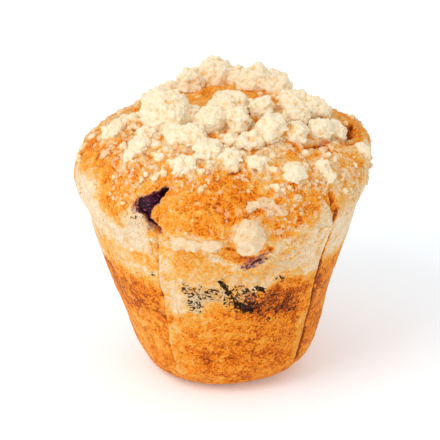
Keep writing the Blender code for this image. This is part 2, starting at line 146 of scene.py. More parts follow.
# Furrows: points (azimuth, pitch), half width and depth
FURROWS = {
    "crack below the berry": (((-31, 22), (-28.5, 20), (-26, 17.8), (-23.5, 16.8)), 0.8 * MM, 1.6 * MM),
    "left fold": (((-28.5, 18), (-29.5, 11), (-30, 6), (-27, 3)), 0.45 * MM, 0.7 * MM),
    "under the front lip": (((-20, 15.5), (-9, 13.2), (0, 13.5), (9, 11.0)), 0.6 * MM, 0.6 * MM),
    "crack at the right": (((50, 45.0), (57, 43.6), (66, 41.8), (76, 39.2)), 0.7 * MM, 1.6 * MM),
    "crack above the front": (((-62, 47), (-52, 44.8), (-40, 42.8)), 0.6 * MM, 0.9 * MM),
    "crack in the front middle": (((3, 41), (8, 42.8), (14, 43.5), (19, 41)), 0.6 * MM, 0.9 * MM),
    "crack right of the rim lump": (((17, 14), (20, 10), (22, 9.5)), 0.5 * MM, 0.7 * MM),
    "edge of the front right crust": (((47, 30), (48.5, 24), (47, 20)), 0.6 * MM, 1.1 * MM),
    "right fold": (((48, 20), (49, 15), (49.5, 9), (49.5, 3)), 0.6 * MM, 1.1 * MM),
    "pit at the right": (((78, 38.0), (92, 37.4)), 2.0 * MM, 1.9 * MM),
    "wrinkle right of the rim lump": (((39.0, 19.0), (40.0, 14.0), (38.6, 8.5)), 1.0 * MM, 0.6 * MM),
    "second wrinkle": (((33.2, 15.0), (34.4, 11.0), (32.6, 6.0)), 0.9 * MM, 0.5 * MM),
    "third wrinkle": (((43.5, 12.0), (44.0, 7.0), (43.0, 2.0)), 0.8 * MM, 0.5 * MM),
    "back crack": (((120, 30), (135, 33), (150, 30), (165, 24)), 0.7 * MM, 1.3 * MM),
    "back left crack": (((225, 34), (238, 30), (246, 24)), 0.6 * MM, 1.1 * MM),
}


def smooth_step(low, high, value):
    """0 below low and 1 above high, with a smooth rise between them."""
    share = np.clip((value - low) / (high - low), 0.0, 1.0)
    return share * share * (3.0 - 2.0 * share)


def angle_between(azimuth, other):
    return (azimuth - other + 180.0) % 360.0 - 180.0


def outward(azimuth):
    turn = math.radians(azimuth)
    return Vector((math.sin(turn), -math.cos(turn), 0.0))


def wall_radius(height):
    tangent = BASE_ROUNDING * math.tan((math.pi / 2 - WALL_TAPER) / 2)
    return BASE_FLAT_RADIUS + tangent + height * math.tan(WALL_TAPER)


def cake_profile():
    """(radius, height) from just beside the top of the dome down the outside to the edge of the base."""
    power = 2.0 / DOME_FULLNESS
    points = []
    for step in range(DOME_STEPS - 1, -1, -1):
        turn = math.pi / 2 * step / DOME_STEPS
        radius = RIM_RADIUS * math.cos(turn) ** power
        points.append((radius, RIM_HEIGHT + DOME_HEIGHT * math.sin(turn) ** power))
    foot = RIM_HEIGHT - LIP_HEIGHT
    for step in range(1, LIP_STEPS + 1):
        share = step / LIP_STEPS
        overhang = (RIM_RADIUS - wall_radius(foot)) * (1.0 - share * share)
        points.append((wall_radius(foot) + overhang, RIM_HEIGHT - LIP_HEIGHT * share))
    fillet_top = BASE_ROUNDING * (1.0 - math.sin(WALL_TAPER))
    for step in range(1, WALL_STEPS + 1):
        height = foot + (fillet_top - foot) * step / WALL_STEPS
        points.append((wall_radius(height), height))
    for step in range(1, FILLET_STEPS + 1):
        turn = -WALL_TAPER - (math.pi / 2 - WALL_TAPER) * step / FILLET_STEPS
        radius = BASE_FLAT_RADIUS + BASE_ROUNDING * math.cos(turn)
        points.append((radius, BASE_ROUNDING * (1.0 + math.sin(turn))))
    for step in range(1, BASE_STEPS):
        points.append((BASE_FLAT_RADIUS * (1.0 - step / BASE_STEPS), 0.0))
    return np.array(points)


def proud_sign(index):
    """1 where a fold stands proud on its right side, and -1 where it does on its left."""
    return 1.0 if index % 2 == 0 else -1.0


def fold_azimuth(index, height):
    """Where a fold runs, with a slight waver that the solid leaves out."""
    flare = proud_sign(index) * FOLD_FLARE * (2.0 * height / RIM_HEIGHT - 1.0)
    turn = height / MM + 7.0 * index
    waver = np.sin(turn / FOLD_LONG_WAVE) + 0.6 * np.sin(turn / FOLD_SHORT_WAVE + 1.0)
    return FOLDS[index][0] + flare + FOLD_WAVER * waver


def squeezed(azimuth, height):
    """The even grid's azimuths, moved so that its columns crowd at the nearest fold."""
    away = np.stack([angle_between(azimuth, middle) for middle, _ in FOLDS])
    nearest = np.argmin(np.abs(away), axis=0)
    result = np.zeros_like(azimuth)
    for index, (middle, _) in enumerate(FOLDS):
        share = smooth_step(0.0, FOLD_SQUEEZE_REACH, np.abs(away[index]))
        shift = fold_azimuth(index, height) - middle
        moved = middle + away[index] * (FOLD_SQUEEZE + (1.0 - FOLD_SQUEEZE) * share) + shift * (1.0 - share)
        result = np.where(nearest == index, moved, result)
    return result


def fold_offset(azimuth, height):
    """The step at each fold, out on one side and in on the other."""
    grown = smooth_step(FOLD_FROM_HEIGHT, RIM_HEIGHT, height)
    size = FOLD_LEAST_SHARE + (1.0 - FOLD_LEAST_SHARE) * grown
    size = size * smooth_step(0.0, FOLD_FROM_HEIGHT, height)
    size = size * (1.0 - smooth_step(RIM_HEIGHT, RIM_HEIGHT + CROWN_BLEND, height))
    offset = 0.0
    for index, (_, depth) in enumerate(FOLDS):
        away = angle_between(azimuth, fold_azimuth(index, height)) * proud_sign(index)
        offset = offset + np.copysign(depth / 2.0 * size * np.exp(-np.abs(away) / FOLD_REACH), away)
    return offset


def panel_offset(azimuth, height):
    """Makes the wall between two folds a little flatter than a cone."""
    share = np.zeros_like(azimuth)
    for index, (start, _) in enumerate(FOLDS):
        span = angle_between(FOLDS[(index + 1) % len(FOLDS)][0], start) % 360.0
        along = angle_between(azimuth, start) % 360.0
        share = np.where(along < span, np.sin(math.pi * along / span), share)
    on_wall = smooth_step(0.0, FOLD_FROM_HEIGHT, height)
    on_wall = on_wall * (1.0 - smooth_step(RIM_HEIGHT, RIM_HEIGHT + CROWN_BLEND, height))
    return PANEL_FLATNESS * (0.5 - share) * on_wall


def foot_offset(azimuth, height):
    """The foot's swells, which fade out up the wall."""
    offset = np.zeros_like(azimuth)
    for middle, width, swell_out in FOOT_SWELLS:
        offset += swell_out * np.exp(-((angle_between(azimuth, middle) / width) ** 2))
    on_foot = smooth_step(0.0, FOLD_FROM_HEIGHT, height)
    return offset * on_foot * (1.0 - smooth_step(FOOT_FULL_HEIGHT, FOOT_TOP, height))


def noise_shift(shift):
    """Each use of noise has a shift of its own, so that no two run alike."""
    return Vector((shift, shift * 0.7, shift * 1.3))


def noise_of(points, size, shift=0.0):
    """Smooth noise from about -1 to 1 at each point, its bumps about the given size."""
    move = noise_shift(shift)
    return np.array([noise.noise(Vector(point) / size + move) for point in points])


def cells_of(points, size, shift):
    """Distance from each point to the nearest of scattered spots that lie about size apart."""
    move = noise_shift(shift)
    return np.array([noise.voronoi(Vector(point) / size + move)[0][0] for point in points]) * size


def cake_points():
    """(points, rows) of the cake's shaped grid: row by row, then the two points on the axis."""
    profile = cake_profile()
    turns = np.arange(AROUND) * 360.0 / AROUND
    even = np.tile(turns, len(profile))
    radius = np.repeat(profile[:, 0], AROUND)
    height = np.repeat(profile[:, 1], AROUND)
    x, y = radius * np.sin(np.radians(even)), -radius * np.cos(np.radians(even))
    azimuth = squeezed(even, height)
    reach_share = radius / RIM_RADIUS
    out, rise = np.zeros_like(even), np.zeros_like(even)
    for middle, width, swell_out, swell_up in CROWN_SWELLS:
        share = np.exp(-((angle_between(azimuth, middle) / width) ** 2))
        out += swell_out * share
        rise += swell_up * share
    crown_share = smooth_step(RIM_HEIGHT - SWELL_DEPTH, RIM_HEIGHT, height) * reach_share
    lump = noise_of(np.stack([x, y, height], axis=1), LUMP_SCALE) * LUMPINESS
    lump *= smooth_step(LUMPS_FROM_HEIGHT, LUMPS_FULL_HEIGHT, height)
    across = np.exp(-((angle_between(azimuth, fold_azimuth(0, RIM_HEIGHT)) / SPLIT_WIDTH) ** 2))
    along = np.exp(-(((height - SPLIT_MIDDLE_HEIGHT) / SPLIT_REACH) ** 2))
    moved = radius + fold_offset(azimuth, height) + panel_offset(azimuth, height)
    moved += foot_offset(azimuth, height) - SPLIT_DEPTH * across * along
    moved += out * crown_share + lump * reach_share
    on_dome = smooth_step(RIM_HEIGHT, RIM_HEIGHT + DOME_HEIGHT, height)
    points = np.stack([np.sin(np.radians(azimuth)) * moved, -np.cos(np.radians(azimuth)) * moved], axis=1)
    sunk = np.zeros_like(even)
    for middle, reach, depth, size in HOLLOWS:
        centre = outward(middle) * reach
        away = np.hypot(points[:, 0] - centre.x, points[:, 1] - centre.y)
        sunk -= depth * np.exp(-((away / size) ** 2))
    sunk *= smooth_step(RIM_HEIGHT, RIM_HEIGHT + CROWN_BLEND, height)
    level = height + rise * crown_share * reach_share + lump * on_dome + sunk
    grid = np.column_stack([points, level])
    top = grid[:AROUND].mean(axis=0) + (0.0, 0.0, TOP_RISE)
    return np.vstack([grid, top, (0.0, 0.0, 0.0)]), len(profile)


def cake_faces(rows):
    """Quads down the grid, with a fan of triangles at the top and at the base."""
    faces = []
    for row in range(rows - 1):
        for column in range(AROUND):
            after = (column + 1) % AROUND
            upper, lower = row * AROUND, (row + 1) * AROUND
            faces.append((upper + column, lower + column, lower + after, upper + after))
    top, base, last = rows * AROUND, rows * AROUND + 1, (rows - 1) * AROUND
    for column in range(AROUND):
        after = (column + 1) % AROUND
        faces.append((column, after, top))
        faces.append((last + after, last + column, base))
    return faces


def mesh_of_cake(points, rows):
    mesh = bpy.data.meshes.new("muffin_cake")
    mesh.from_pydata(points.tolist(), [], cake_faces(rows))
    mesh.update()
    return mesh


def new_object(name, data):
    """A linked object of this mesh, light or camera."""
    made = bpy.data.objects.new(name, data)
    bpy.context.scene.collection.objects.link(made)
    return made


def new_piece(name, mesh, node_names, material):
    """Makes a finished mesh a piece that rides on the one body, with its material."""
    piece = new_object(name, mesh)
    mesh.materials.clear()
    mesh.materials.append(material)
    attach(piece, "root")
    if node_names:
        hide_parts(*node_names)


def vectors_of(mesh, field):
    """A vector for each vertex: where it is for the field "co", and which way it faces for "normal"."""
    vectors = np.empty(len(mesh.vertices) * 3)
    mesh.vertices.foreach_get(field, vectors)
    return vectors.reshape(-1, 3)


def set_points(mesh, points):
    mesh.vertices.foreach_set("co", points.astype(np.float32).ravel())
    mesh.update()


def store(mesh, name, values):
    """Keeps one number for each vertex under a name that the material reads."""
    attribute = mesh.attributes.new(name, "FLOAT", "POINT")
    attribute.data.foreach_set("value", values.astype(np.float32))


def hollowness(mesh, rounds):
    """How far each vertex lies in a hollow between its neighbours, positive in a hollow, evened out over
    rounds; the painted shade of hollows is made from it.
    """
    pairs = np.empty(len(mesh.edges) * 2, np.int32)
    mesh.edges.foreach_get("vertices", pairs)
    one, other = pairs.reshape(-1, 2).T
    count = np.bincount(one, minlength=len(mesh.vertices)) + np.bincount(other, minlength=len(mesh.vertices))
    count = np.maximum(count, 1)

    def around_mean(values):
        total = np.zeros_like(values)
        np.add.at(total, one, values[other])
        np.add.at(total, other, values[one])
        return total / (count[:, None] if values.ndim == 2 else count)

    points = vectors_of(mesh, "co")
    wide = points
    for _ in range(rounds):
        wide = around_mean(wide)
    painted_dip_shade = ((wide - points) * vectors_of(mesh, "normal")).sum(axis=1)
    return around_mean(painted_dip_shade)


class Surface:
    """A closed mesh, such as the smooth cake, for finding points on it."""

    def __init__(self, mesh):
        form = bmesh.new()
        form.from_mesh(mesh)
        self.tree = BVHTree.FromBMesh(form)
        form.free()

    def on_crown(self, azimuth, pitch):
        """(point, normal) where a ray from the crown's middle leaves the cake."""
        turn = math.radians(pitch)
        ray = outward(azimuth) * math.cos(turn) + Vector((0.0, 0.0, math.sin(turn)))
        point, normal, _, _ = self.tree.ray_cast(CROWN_MIDDLE, ray)
        return point, normal if normal.dot(ray) > 0.0 else -normal

    def on_wall(self, azimuth, height):
        """(point, direction) where a level ray from the axis leaves the cake."""
        ray = outward(azimuth)
        point, _, _, _ = self.tree.ray_cast(Vector((0.0, 0.0, height)), ray)
        return point, ray

    def height_over(self, points):
        """How far each point lies above the crust."""
        heights = []
        for point in points:
            near, normal, _, _ = self.tree.find_nearest(Vector(point))
            heights.append((Vector(point) - near).dot(normal))
        return np.array(heights)


def facing_frame(point, normal):
    """A frame at the point: X runs round the muffin, Y up the slope and Z out of the crust."""
    around = Vector((-point.y, point.x, 0.0)).normalized()
    around = (around - normal * around.dot(normal)).normalized()
    columns = (around, normal.cross(around), normal)
    return Matrix.Translation(point) @ Matrix(columns).transposed().to_4x4()


def path_distance(points, path, widths):
    """(distance, share) of each point: how far it is outside a path whose half width changes, below zero
    inside it, and how far along the path it lies, from 0 to 1."""
    nearest = np.full(len(points), np.inf)
    along = np.zeros(len(points))
    steps = len(path) - 1
    for index in range(steps):
        start, step = path[index], path[index + 1] - path[index]
        share = np.clip(((points - start) @ step) / (step @ step), 0.0, 1.0)
        away = np.linalg.norm(points - start - share[:, None] * step, axis=1)
        away = away - widths[index] - share * (widths[index + 1] - widths[index])
        closer = away < nearest
        nearest = np.where(closer, away, nearest)
        along = np.where(closer, (index + share) / steps, along)
    return nearest, along


# ---- How far the crust is baked: 0 is raw pale dough, 0.5 gold, 0.7 orange and 1 dark brown. Painted shade and highlights at the folds and in a few patches are added to the same value ----

# Where the golden lower wall ends: azimuth and height of its edge, going round
BROWN_EDGE = (
    (-180, 41), (-140, 46), (-100, 42), (-75, 40), (-60, 42.5), (-45, 44), (-32, 43), (-27, 40),
    (-24, 32), (-15, 29), (-8, 35), (0, 37), (8, 38), (18, 40), (28, 44), (44, 43), (47.5, 45), (60, 44),
    (90, 46), (120, 43), (150, 39), (180, 41),
)
EDGE_SOFTNESS = 3.0 * MM
WALL_BAKE = 0.70
CROWN_BAKE = 0.56
PALE_BAKE = 0.24
CROWN_FROM_PITCH = 14.0
CROWN_FULL_PITCH = 22.0

# Patches of the wall: azimuth, height, half width, half height, slant, how far baked, and how strongly. A few
# are painted shade or a painted highlight, as noted above their lines
WALL_PATCHES = (
    (-55, 49, 16, 3.6, 0, 0.46, 0.8), (-40, 46, 7, 4.0, 0, 0.34, 0.8), (-34, 50.5, 5, 2.6, 0, 0.50, 0.7),
    (-70, 46, 8, 4.0, 0, 0.50, 0.7), (-58, 59, 16, 7, 0, 0.12, 0.9), (-38, 57, 7, 4.5, 0, 0.10, 0.9),
    (-25, 58, 2.5, 4.0, 0, 0.46, 0.8), (-52, 34, 17, 7, -8, 0.82, 0.9), (-40, 36, 8, 5, 0, 0.80, 0.7),
    (-48, 17, 20, 9, 0, 0.60, 0.8), (-10, 45, 12, 7, 0, 0.38, 0.9), (-13, 54, 9, 6, 0, 0.56, 0.9),
    (4, 56.0, 8, 4.6, -8, 0.72, 0.9), (-3, 50, 5, 3, 0, 0.54, 0.7), (20, 46.5, 17, 4.4, 10, 0.40, 0.9),
    # The last patch below is painted shadow, a dark line under the rim lump
    (34, 52, 8, 7, 0, 0.32, 0.9), (37, 61, 9, 6, 0, 0.12, 0.9), (17, 56, 5, 1.6, 0, 0.86, 0.8),
    # The last patch below is painted shade, a darker strip beside the sunk side of the left fold
    (-10, 61.0, 10, 1.6, 0, 0.10, 0.9), (-24, 40, 2.2, 14, 0, 0.30, 0.8), (-29.6, 57, 1.0, 6, 0, 0.52, 0.6),
    (-25.8, 22, 2.4, 14, 0, 0.44, 0.9), (-14, 28, 8, 4, 0, 0.56, 0.8), (28, 33, 13, 8.5, 0, 0.92, 0.9),
    (26, 24, 10, 5, 0, 0.78, 0.6), (8, 24, 16, 8, 0, 0.66, 0.6), (-12, 17, 9, 8, 0, 0.72, 0.6),
    (22, 15, 22, 10, 0, 0.78, 0.7), (-5, 17, 4, 2.5, 0, 0.84, 0.7), (-7, 11, 2.5, 2, 0, 0.84, 0.7),
    # The first patch below is a painted highlight on the proud edge of the right fold, and the second is
    # painted shade beside its step
    (46.6, 26, 1.1, 17, 0, 0.56, 0.8), (52, 36, 4, 9, 0, 0.86, 0.8), (66, 22, 12, 12, 0, 0.74, 0.6),
    (60, 54, 14, 9, 0, 0.10, 0.9), (66, 60, 14, 8, 0, 0.08, 0.9), (84, 58, 12, 9, 0, 0.16, 0.9),
)

# Patches of the crown, with a pitch in place of the height
CROWN_PATCHES = (
    (-70, 36, 15, 8, 0, 0.70, 1.0), (-50, 31, 10, 11, 20, 0.68, 0.9), (-36, 26, 8, 7, 0, 0.60, 0.8),
    (-43, 19, 4, 4, 0, 0.64, 0.85), (-70, 18, 12, 10, 0, 0.10, 0.95), (-35, 18.5, 4.5, 3.4, 0, 0.18, 0.9),
    (-5, 27, 20, 11, 0, 0.66, 0.95), (0, 32, 10, 6, 0, 0.74, 0.8), (34, 20, 8, 8, 0, 0.66, 0.7),
    (40, 30, 14, 10, 0, 0.68, 0.8), (54, 38, 14, 7, 0, 0.68, 0.8), (-20, 24, 6, 8, 0, 0.58, 0.7),
    (24, 20, 8, 7, 0, 0.66, 0.8), (42, 12, 5, 8, 0, 0.14, 0.9), (60, 32, 12, 8, 0, 0.57, 0.8),
    (62, 22, 9, 5, 0, 0.34, 0.8), (72, 37, 6, 5, 0, 0.60, 0.9), (80, 24, 10, 9, 0, 0.20, 0.95),
    (85.5, 37.8, 7.5, 3.4, 0, 0.72, 1.0), (0, 85, 24, 16, 0, 0.60, 0.9), (180, 70, 17, 9, 0, 0.58, 0.9),
    (-8, 62, 9, 7, 0, 0.62, 0.8), (33, 62, 5, 8, 0, 0.62, 0.8), (-90, 48, 14, 7, 0, 0.62, 0.8),
    (100, 52, 16, 9, 0, 0.58, 0.7),
)

# Crumbs that melted into the crust, leaving it pale and grainy: azimuth, pitch, half width, half height,
# slant, and how much of the place they cover
CRUSTED = (
    (17, 28.3, 5, 2.4, 10, 0.80), (22.8, 25.8, 5, 2.6, -20, 0.76), (33, 26, 9, 5, 0, 0.34),
    (36, 34, 11, 7, 0, 0.42), (50, 36, 9, 10, 0, 0.46), (60, 28, 8, 9, 0, 0.50), (66, 40, 8, 5, 0, 0.54),
    (26, 18, 7, 6, 0, 0.44), (30, 12, 9, 7, 30, 0.56), (39, 20, 5, 8, 0, 0.46), (16, 42, 12, 6, 0, 0.50),
    (-14, 43, 10, 5, 0, 0.62), (-9, 50, 5, 7, 0, 0.70), (-4, 35, 14, 3, 0, 0.30), (-40, 28, 8, 6, 0, 0.44),
    (-45, 38, 13, 6, 0, 0.42), (-62, 43, 12, 5, 0, 0.46), (-85, 42, 11, 6, 0, 0.50),
    (-70, 37, 3, 2.5, 40, 0.8), (-10, 27, 16, 8, 0, 0.16), (-20, 52, 20, 9, 0, 0.42),
    (20, 54, 24, 10, 0, 0.42), (60, 52, 18, 9, 0, 0.46), (120, 30, 16, 12, 0, 0.50),
    (165, 40, 18, 9, 0, 0.52), (205, 24, 16, 10, 0, 0.46), (245, 34, 16, 11, 0, 0.50),
    (60, 75, 16, 14, 0, 0.30),
)
CRUSTED_SPACING = 1.5 * MM
CRUSTED_RAISE = 0.45 * MM
CLOD_SPACING = 3.2 * MM
CLOD_RAISE = 0.5 * MM

# Marks on the wall: azimuth, height, half width, half height, slant, strength. Juice of the berries comes
# first, then grey wet dough and then black specks
JUICE = (
    (-35.0, 68.0, 1.6, 2.4, 0, 0.46), (-26.4, 61.8, 3.2, 1.4, -30, 0.32), (13.2, 51.4, 5.4, 2.7, 34, 0.50),
)
GREY = (
    (-33.5, 63.6, 4.6, 2.6, 0, 0.9), (-38.0, 61.0, 4.0, 2.4, 0, 0.35), (-9.5, 40.0, 7.0, 3.4, -8, 0.9),
    (-13.0, 36.0, 3.6, 4.6, 20, 0.9), (24.0, 48.6, 8.0, 3.0, 0, 0.5), (10.0, 44.6, 9.0, 3.6, 0, 0.4),
    (11.0, 39.0, 4.6, 3.0, 0, 0.7), (0.0, 46.5, 5.0, 2.4, 0, 0.3),
)
SPECKS = (
    (-10.0, 40.4, 6.4, 2.8, -12, 0.66), (-13.0, 35.6, 2.6, 4.0, 20, 0.68), (-33.0, 64.4, 3.0, 1.4, 0, 0.34),
    (9.0, 38.4, 6.4, 4.4, 0, 0.72), (5.0, 39.4, 3.4, 4.6, -40, 0.72), (14.0, 34.4, 6.0, 2.6, 0, 0.78),
    (20.0, 38.0, 3.4, 3.0, 0, 0.52), (25.7, 28.8, 1.0, 1.0, 0, 1.1), (35.0, 31.0, 1.0, 1.0, 0, 1.0),
    (27.0, 34.0, 10.0, 6.0, -20, 0.40), (27.5, 44.0, 2.4, 0.7, -30, 0.7), (-31.4, 45.0, 0.9, 0.45, 50, 0.9),
    (-48.0, 34.0, 12.0, 5.0, 0, 0.16),
)
# Painted light at the folds: FOLD_SHADE is painted shade on the sunk side, FOLD_LIGHT a painted highlight on
# the proud edge
FOLD_SHADE = 0.20
FOLD_SHADE_WIDTH = 2.2 * MM
FOLD_LIGHT = 0.10
FOLD_LIGHT_WIDTH = 0.5 * FOLD_SHADE_WIDTH
# The dark line down each fold, a painted shadow of its step: how strong, how far from the fold and how wide
FOLD_SHADOW_LINES = (
    (0.10, 0.2 * MM, 0.4 * MM),
    (0.42, 1.7 * MM, 0.9 * MM),
    (0.18, 0.2 * MM, 0.4 * MM),
    (0.18, 0.2 * MM, 0.4 * MM),
)
# On the pale dough the painted shadow line is stronger and lies farther out, by these factors
FOLD_SHADOW_ON_DOUGH = 1.9
FOLD_SPREAD_ON_DOUGH = 1.75
DOUGH_FROM_HEIGHT = 38.0 * MM
DOUGH_FULL_HEIGHT = 50.0 * MM
PATCH_WARP = 3.0 * MM
PATCH_WARP_SIZE = 5.0 * MM
MARK_WARP_SIZE = 2.4 * MM
# A patch is full up to the first share of its half width, and gone from the second
PATCH_EDGE = (0.62, 1.18)


class Spots:
    """Where many points lie on the muffin."""

    def __init__(self, points):
        self.points = points
        self.radius = np.hypot(points[:, 0], points[:, 1])
        self.azimuth = np.degrees(np.arctan2(points[:, 0], -points[:, 1]))
        self.height = points[:, 2]
        self.pitch = np.degrees(np.arctan2(self.height - CROWN_MIDDLE.z, self.radius))
        self.reach = np.linalg.norm(points - np.array(CROWN_MIDDLE), axis=1)

    def patch(self, place, on_crown, ragged):
        """How far a patch with a ragged edge covers each point, from 0 to 1."""
        azimuth, level, half_width, half_height, slant = place
        across = np.radians(angle_between(self.azimuth, azimuth)) * self.radius / MM
        up = np.radians(self.pitch - level) * self.reach / MM if on_crown else self.height / MM - level
        turn = math.radians(slant)
        along = across * math.cos(turn) + up * math.sin(turn)
        over = up * math.cos(turn) - across * math.sin(turn)
        away = np.hypot(along / half_width, over / half_height)
        away += ragged / MM / min(half_width, half_height)
        return 1.0 - smooth_step(*PATCH_EDGE, away)

    def across_fold(self, index):
        """Distance from a fold, above zero on its proud side."""
        away = angle_between(self.azimuth, fold_azimuth(index, self.height)) * proud_sign(index)
        return np.radians(away) * self.radius


def on_dough(spots, most):
    """A factor that grows from 1 on the browned lower wall to the given one on the pale dough above."""
    return 1.0 + (most - 1.0) * smooth_step(DOUGH_FROM_HEIGHT, DOUGH_FULL_HEIGHT, spots.height)


def fold_shade(spots):
    """Painted light of the folds: a shadow line and a band of shade on the sunk side, a highlight on the
    proud edge.
    """
    values = np.zeros(len(spots.points))
    wobble = 1.0 + 0.5 * noise_of(spots.points, 4.0 * MM, 15.0)
    broken = 0.5 + 0.7 * smooth_step(-0.35, 0.45, noise_of(spots.points, 3.4 * MM, 17.0))
    darker = on_dough(spots, FOLD_SHADOW_ON_DOUGH)
    spread = on_dough(spots, FOLD_SPREAD_ON_DOUGH)
    for index, (_, step) in enumerate(FOLDS):
        across = spots.across_fold(index)
        band = np.where(across < 0.0, np.exp(across / (FOLD_SHADE_WIDTH * wobble)), 0.0)
        lit = np.where(across > 0.0, np.exp(-across / FOLD_LIGHT_WIDTH), 0.0)
        strength, beside, width = FOLD_SHADOW_LINES[index]
        line = np.exp(-(((across + beside * spread) / width) ** 2))
        size = step / (2.0 * MM)
        values += FOLD_SHADE * 2.0 * size * size * band + strength * darker * broken * line
        values -= FOLD_LIGHT * lit
    faded = smooth_step(0.5 * FOLD_FROM_HEIGHT, 2.0 * FOLD_FROM_HEIGHT, spots.height)
    return values * faded * (1.0 - smooth_step(RIM_HEIGHT, RIM_HEIGHT + 0.6 * CROWN_BLEND, spots.height))


def bake_and_painted_light_of(spots):
    """How far each point of the cake is baked, with painted shade and highlights at the folds and in a few
    wall patches.
    """
    ragged = noise_of(spots.points, PATCH_WARP_SIZE, 3.0) * PATCH_WARP
    ragged += noise_of(spots.points, PATCH_WARP_SIZE / 3, 9.0) * PATCH_WARP / 3
    values = np.full(len(spots.points), PALE_BAKE)
    crown = smooth_step(CROWN_FROM_PITCH, CROWN_FULL_PITCH, spots.pitch + ragged / MM)
    values += (CROWN_BAKE - values) * crown
    edge_angles = [angle for angle, _ in BROWN_EDGE]
    edge = np.interp(spots.azimuth, edge_angles, [level * MM for _, level in BROWN_EDGE])
    lower = 1.0 - smooth_step(-EDGE_SOFTNESS, EDGE_SOFTNESS, spots.height - edge + ragged)
    values += (WALL_BAKE - values) * lower
    for table, on_crown in ((WALL_PATCHES, False), (CROWN_PATCHES, True)):
        for *place, target, strength in table:
            values += (target - values) * strength * spots.patch(place, on_crown, ragged)
    return values + fold_shade(spots)


def marked(spots, table, on_crown, raggedness):
    """How strongly the patches of a table mark each point."""
    ragged = noise_of(spots.points, MARK_WARP_SIZE, 21.0) * raggedness
    values = np.zeros(len(spots.points))
    for *place, strength in table:
        values = np.maximum(values, spots.patch(place, on_crown, ragged) * strength)
    return values


# ---- Materials ----

NOISE_ROUGHNESS = 0.55
WHITE = (1.0, 1.0, 1.0, 1.0)
FLOOR_GLOW = 0.15
# Colours for a value, as (value, red, green, blue)
BAKED_TONES = (
    (0.0, 253, 233, 203), (0.2, 246, 210, 164), (0.4, 248, 186, 94), (0.58, 250, 161, 50),
    (0.72, 245, 135, 22), (0.86, 206, 94, 10), (1.0, 146, 62, 8),
)
DUSTED_TONES = ((0.3, 246, 196, 138), (0.58, 253, 226, 188))
JUICE_TONES = ((0.40, 172, 92, 104), (0.66, 104, 36, 66), (0.92, 30, 4, 18))
# The crumb's gold end serves both the painted shade in its hollows and the real toasting near the crust
CRUMB_TONES = (
    (0.0, 255, 236, 202), (0.25, 252, 222, 178), (0.5, 247, 197, 124), (0.75, 242, 170, 68),
    (1.0, 228, 138, 38),
)
# Skins of a berry that burst and of one that dried against the paper, from the dips to the ridges: the
# darkest tones are painted shade in the dips, and the burst skin's pale pink is a painted highlight on the
# ridges
BURST_SKIN_SHADE_HIGHLIGHT_TONES = ((0.30, 8, 0, 6), (0.50, 40, 4, 24), (0.63, 110, 18, 58), (0.76, 208, 112, 146))
DRIED_SKIN_SHADE_TONES = ((0.30, 12, 6, 4), (0.50, 30, 14, 8), (0.63, 70, 34, 16), (0.76, 120, 66, 34))
FLOOR_TONES = ((0.3, 244, 250, 255), (0.7, 247, 252, 255))


def linear(red, green, blue):
    """A colour given as it shows on a screen, from 0 to 255, as linear light."""
    channels = []
    for channel in (red, green, blue):
        share = channel / 255.0
        channels.append(share / 12.92 if share <= 0.04045 else ((share + 0.055) / 1.055) ** 2.4)
    return (*channels, 1.0)


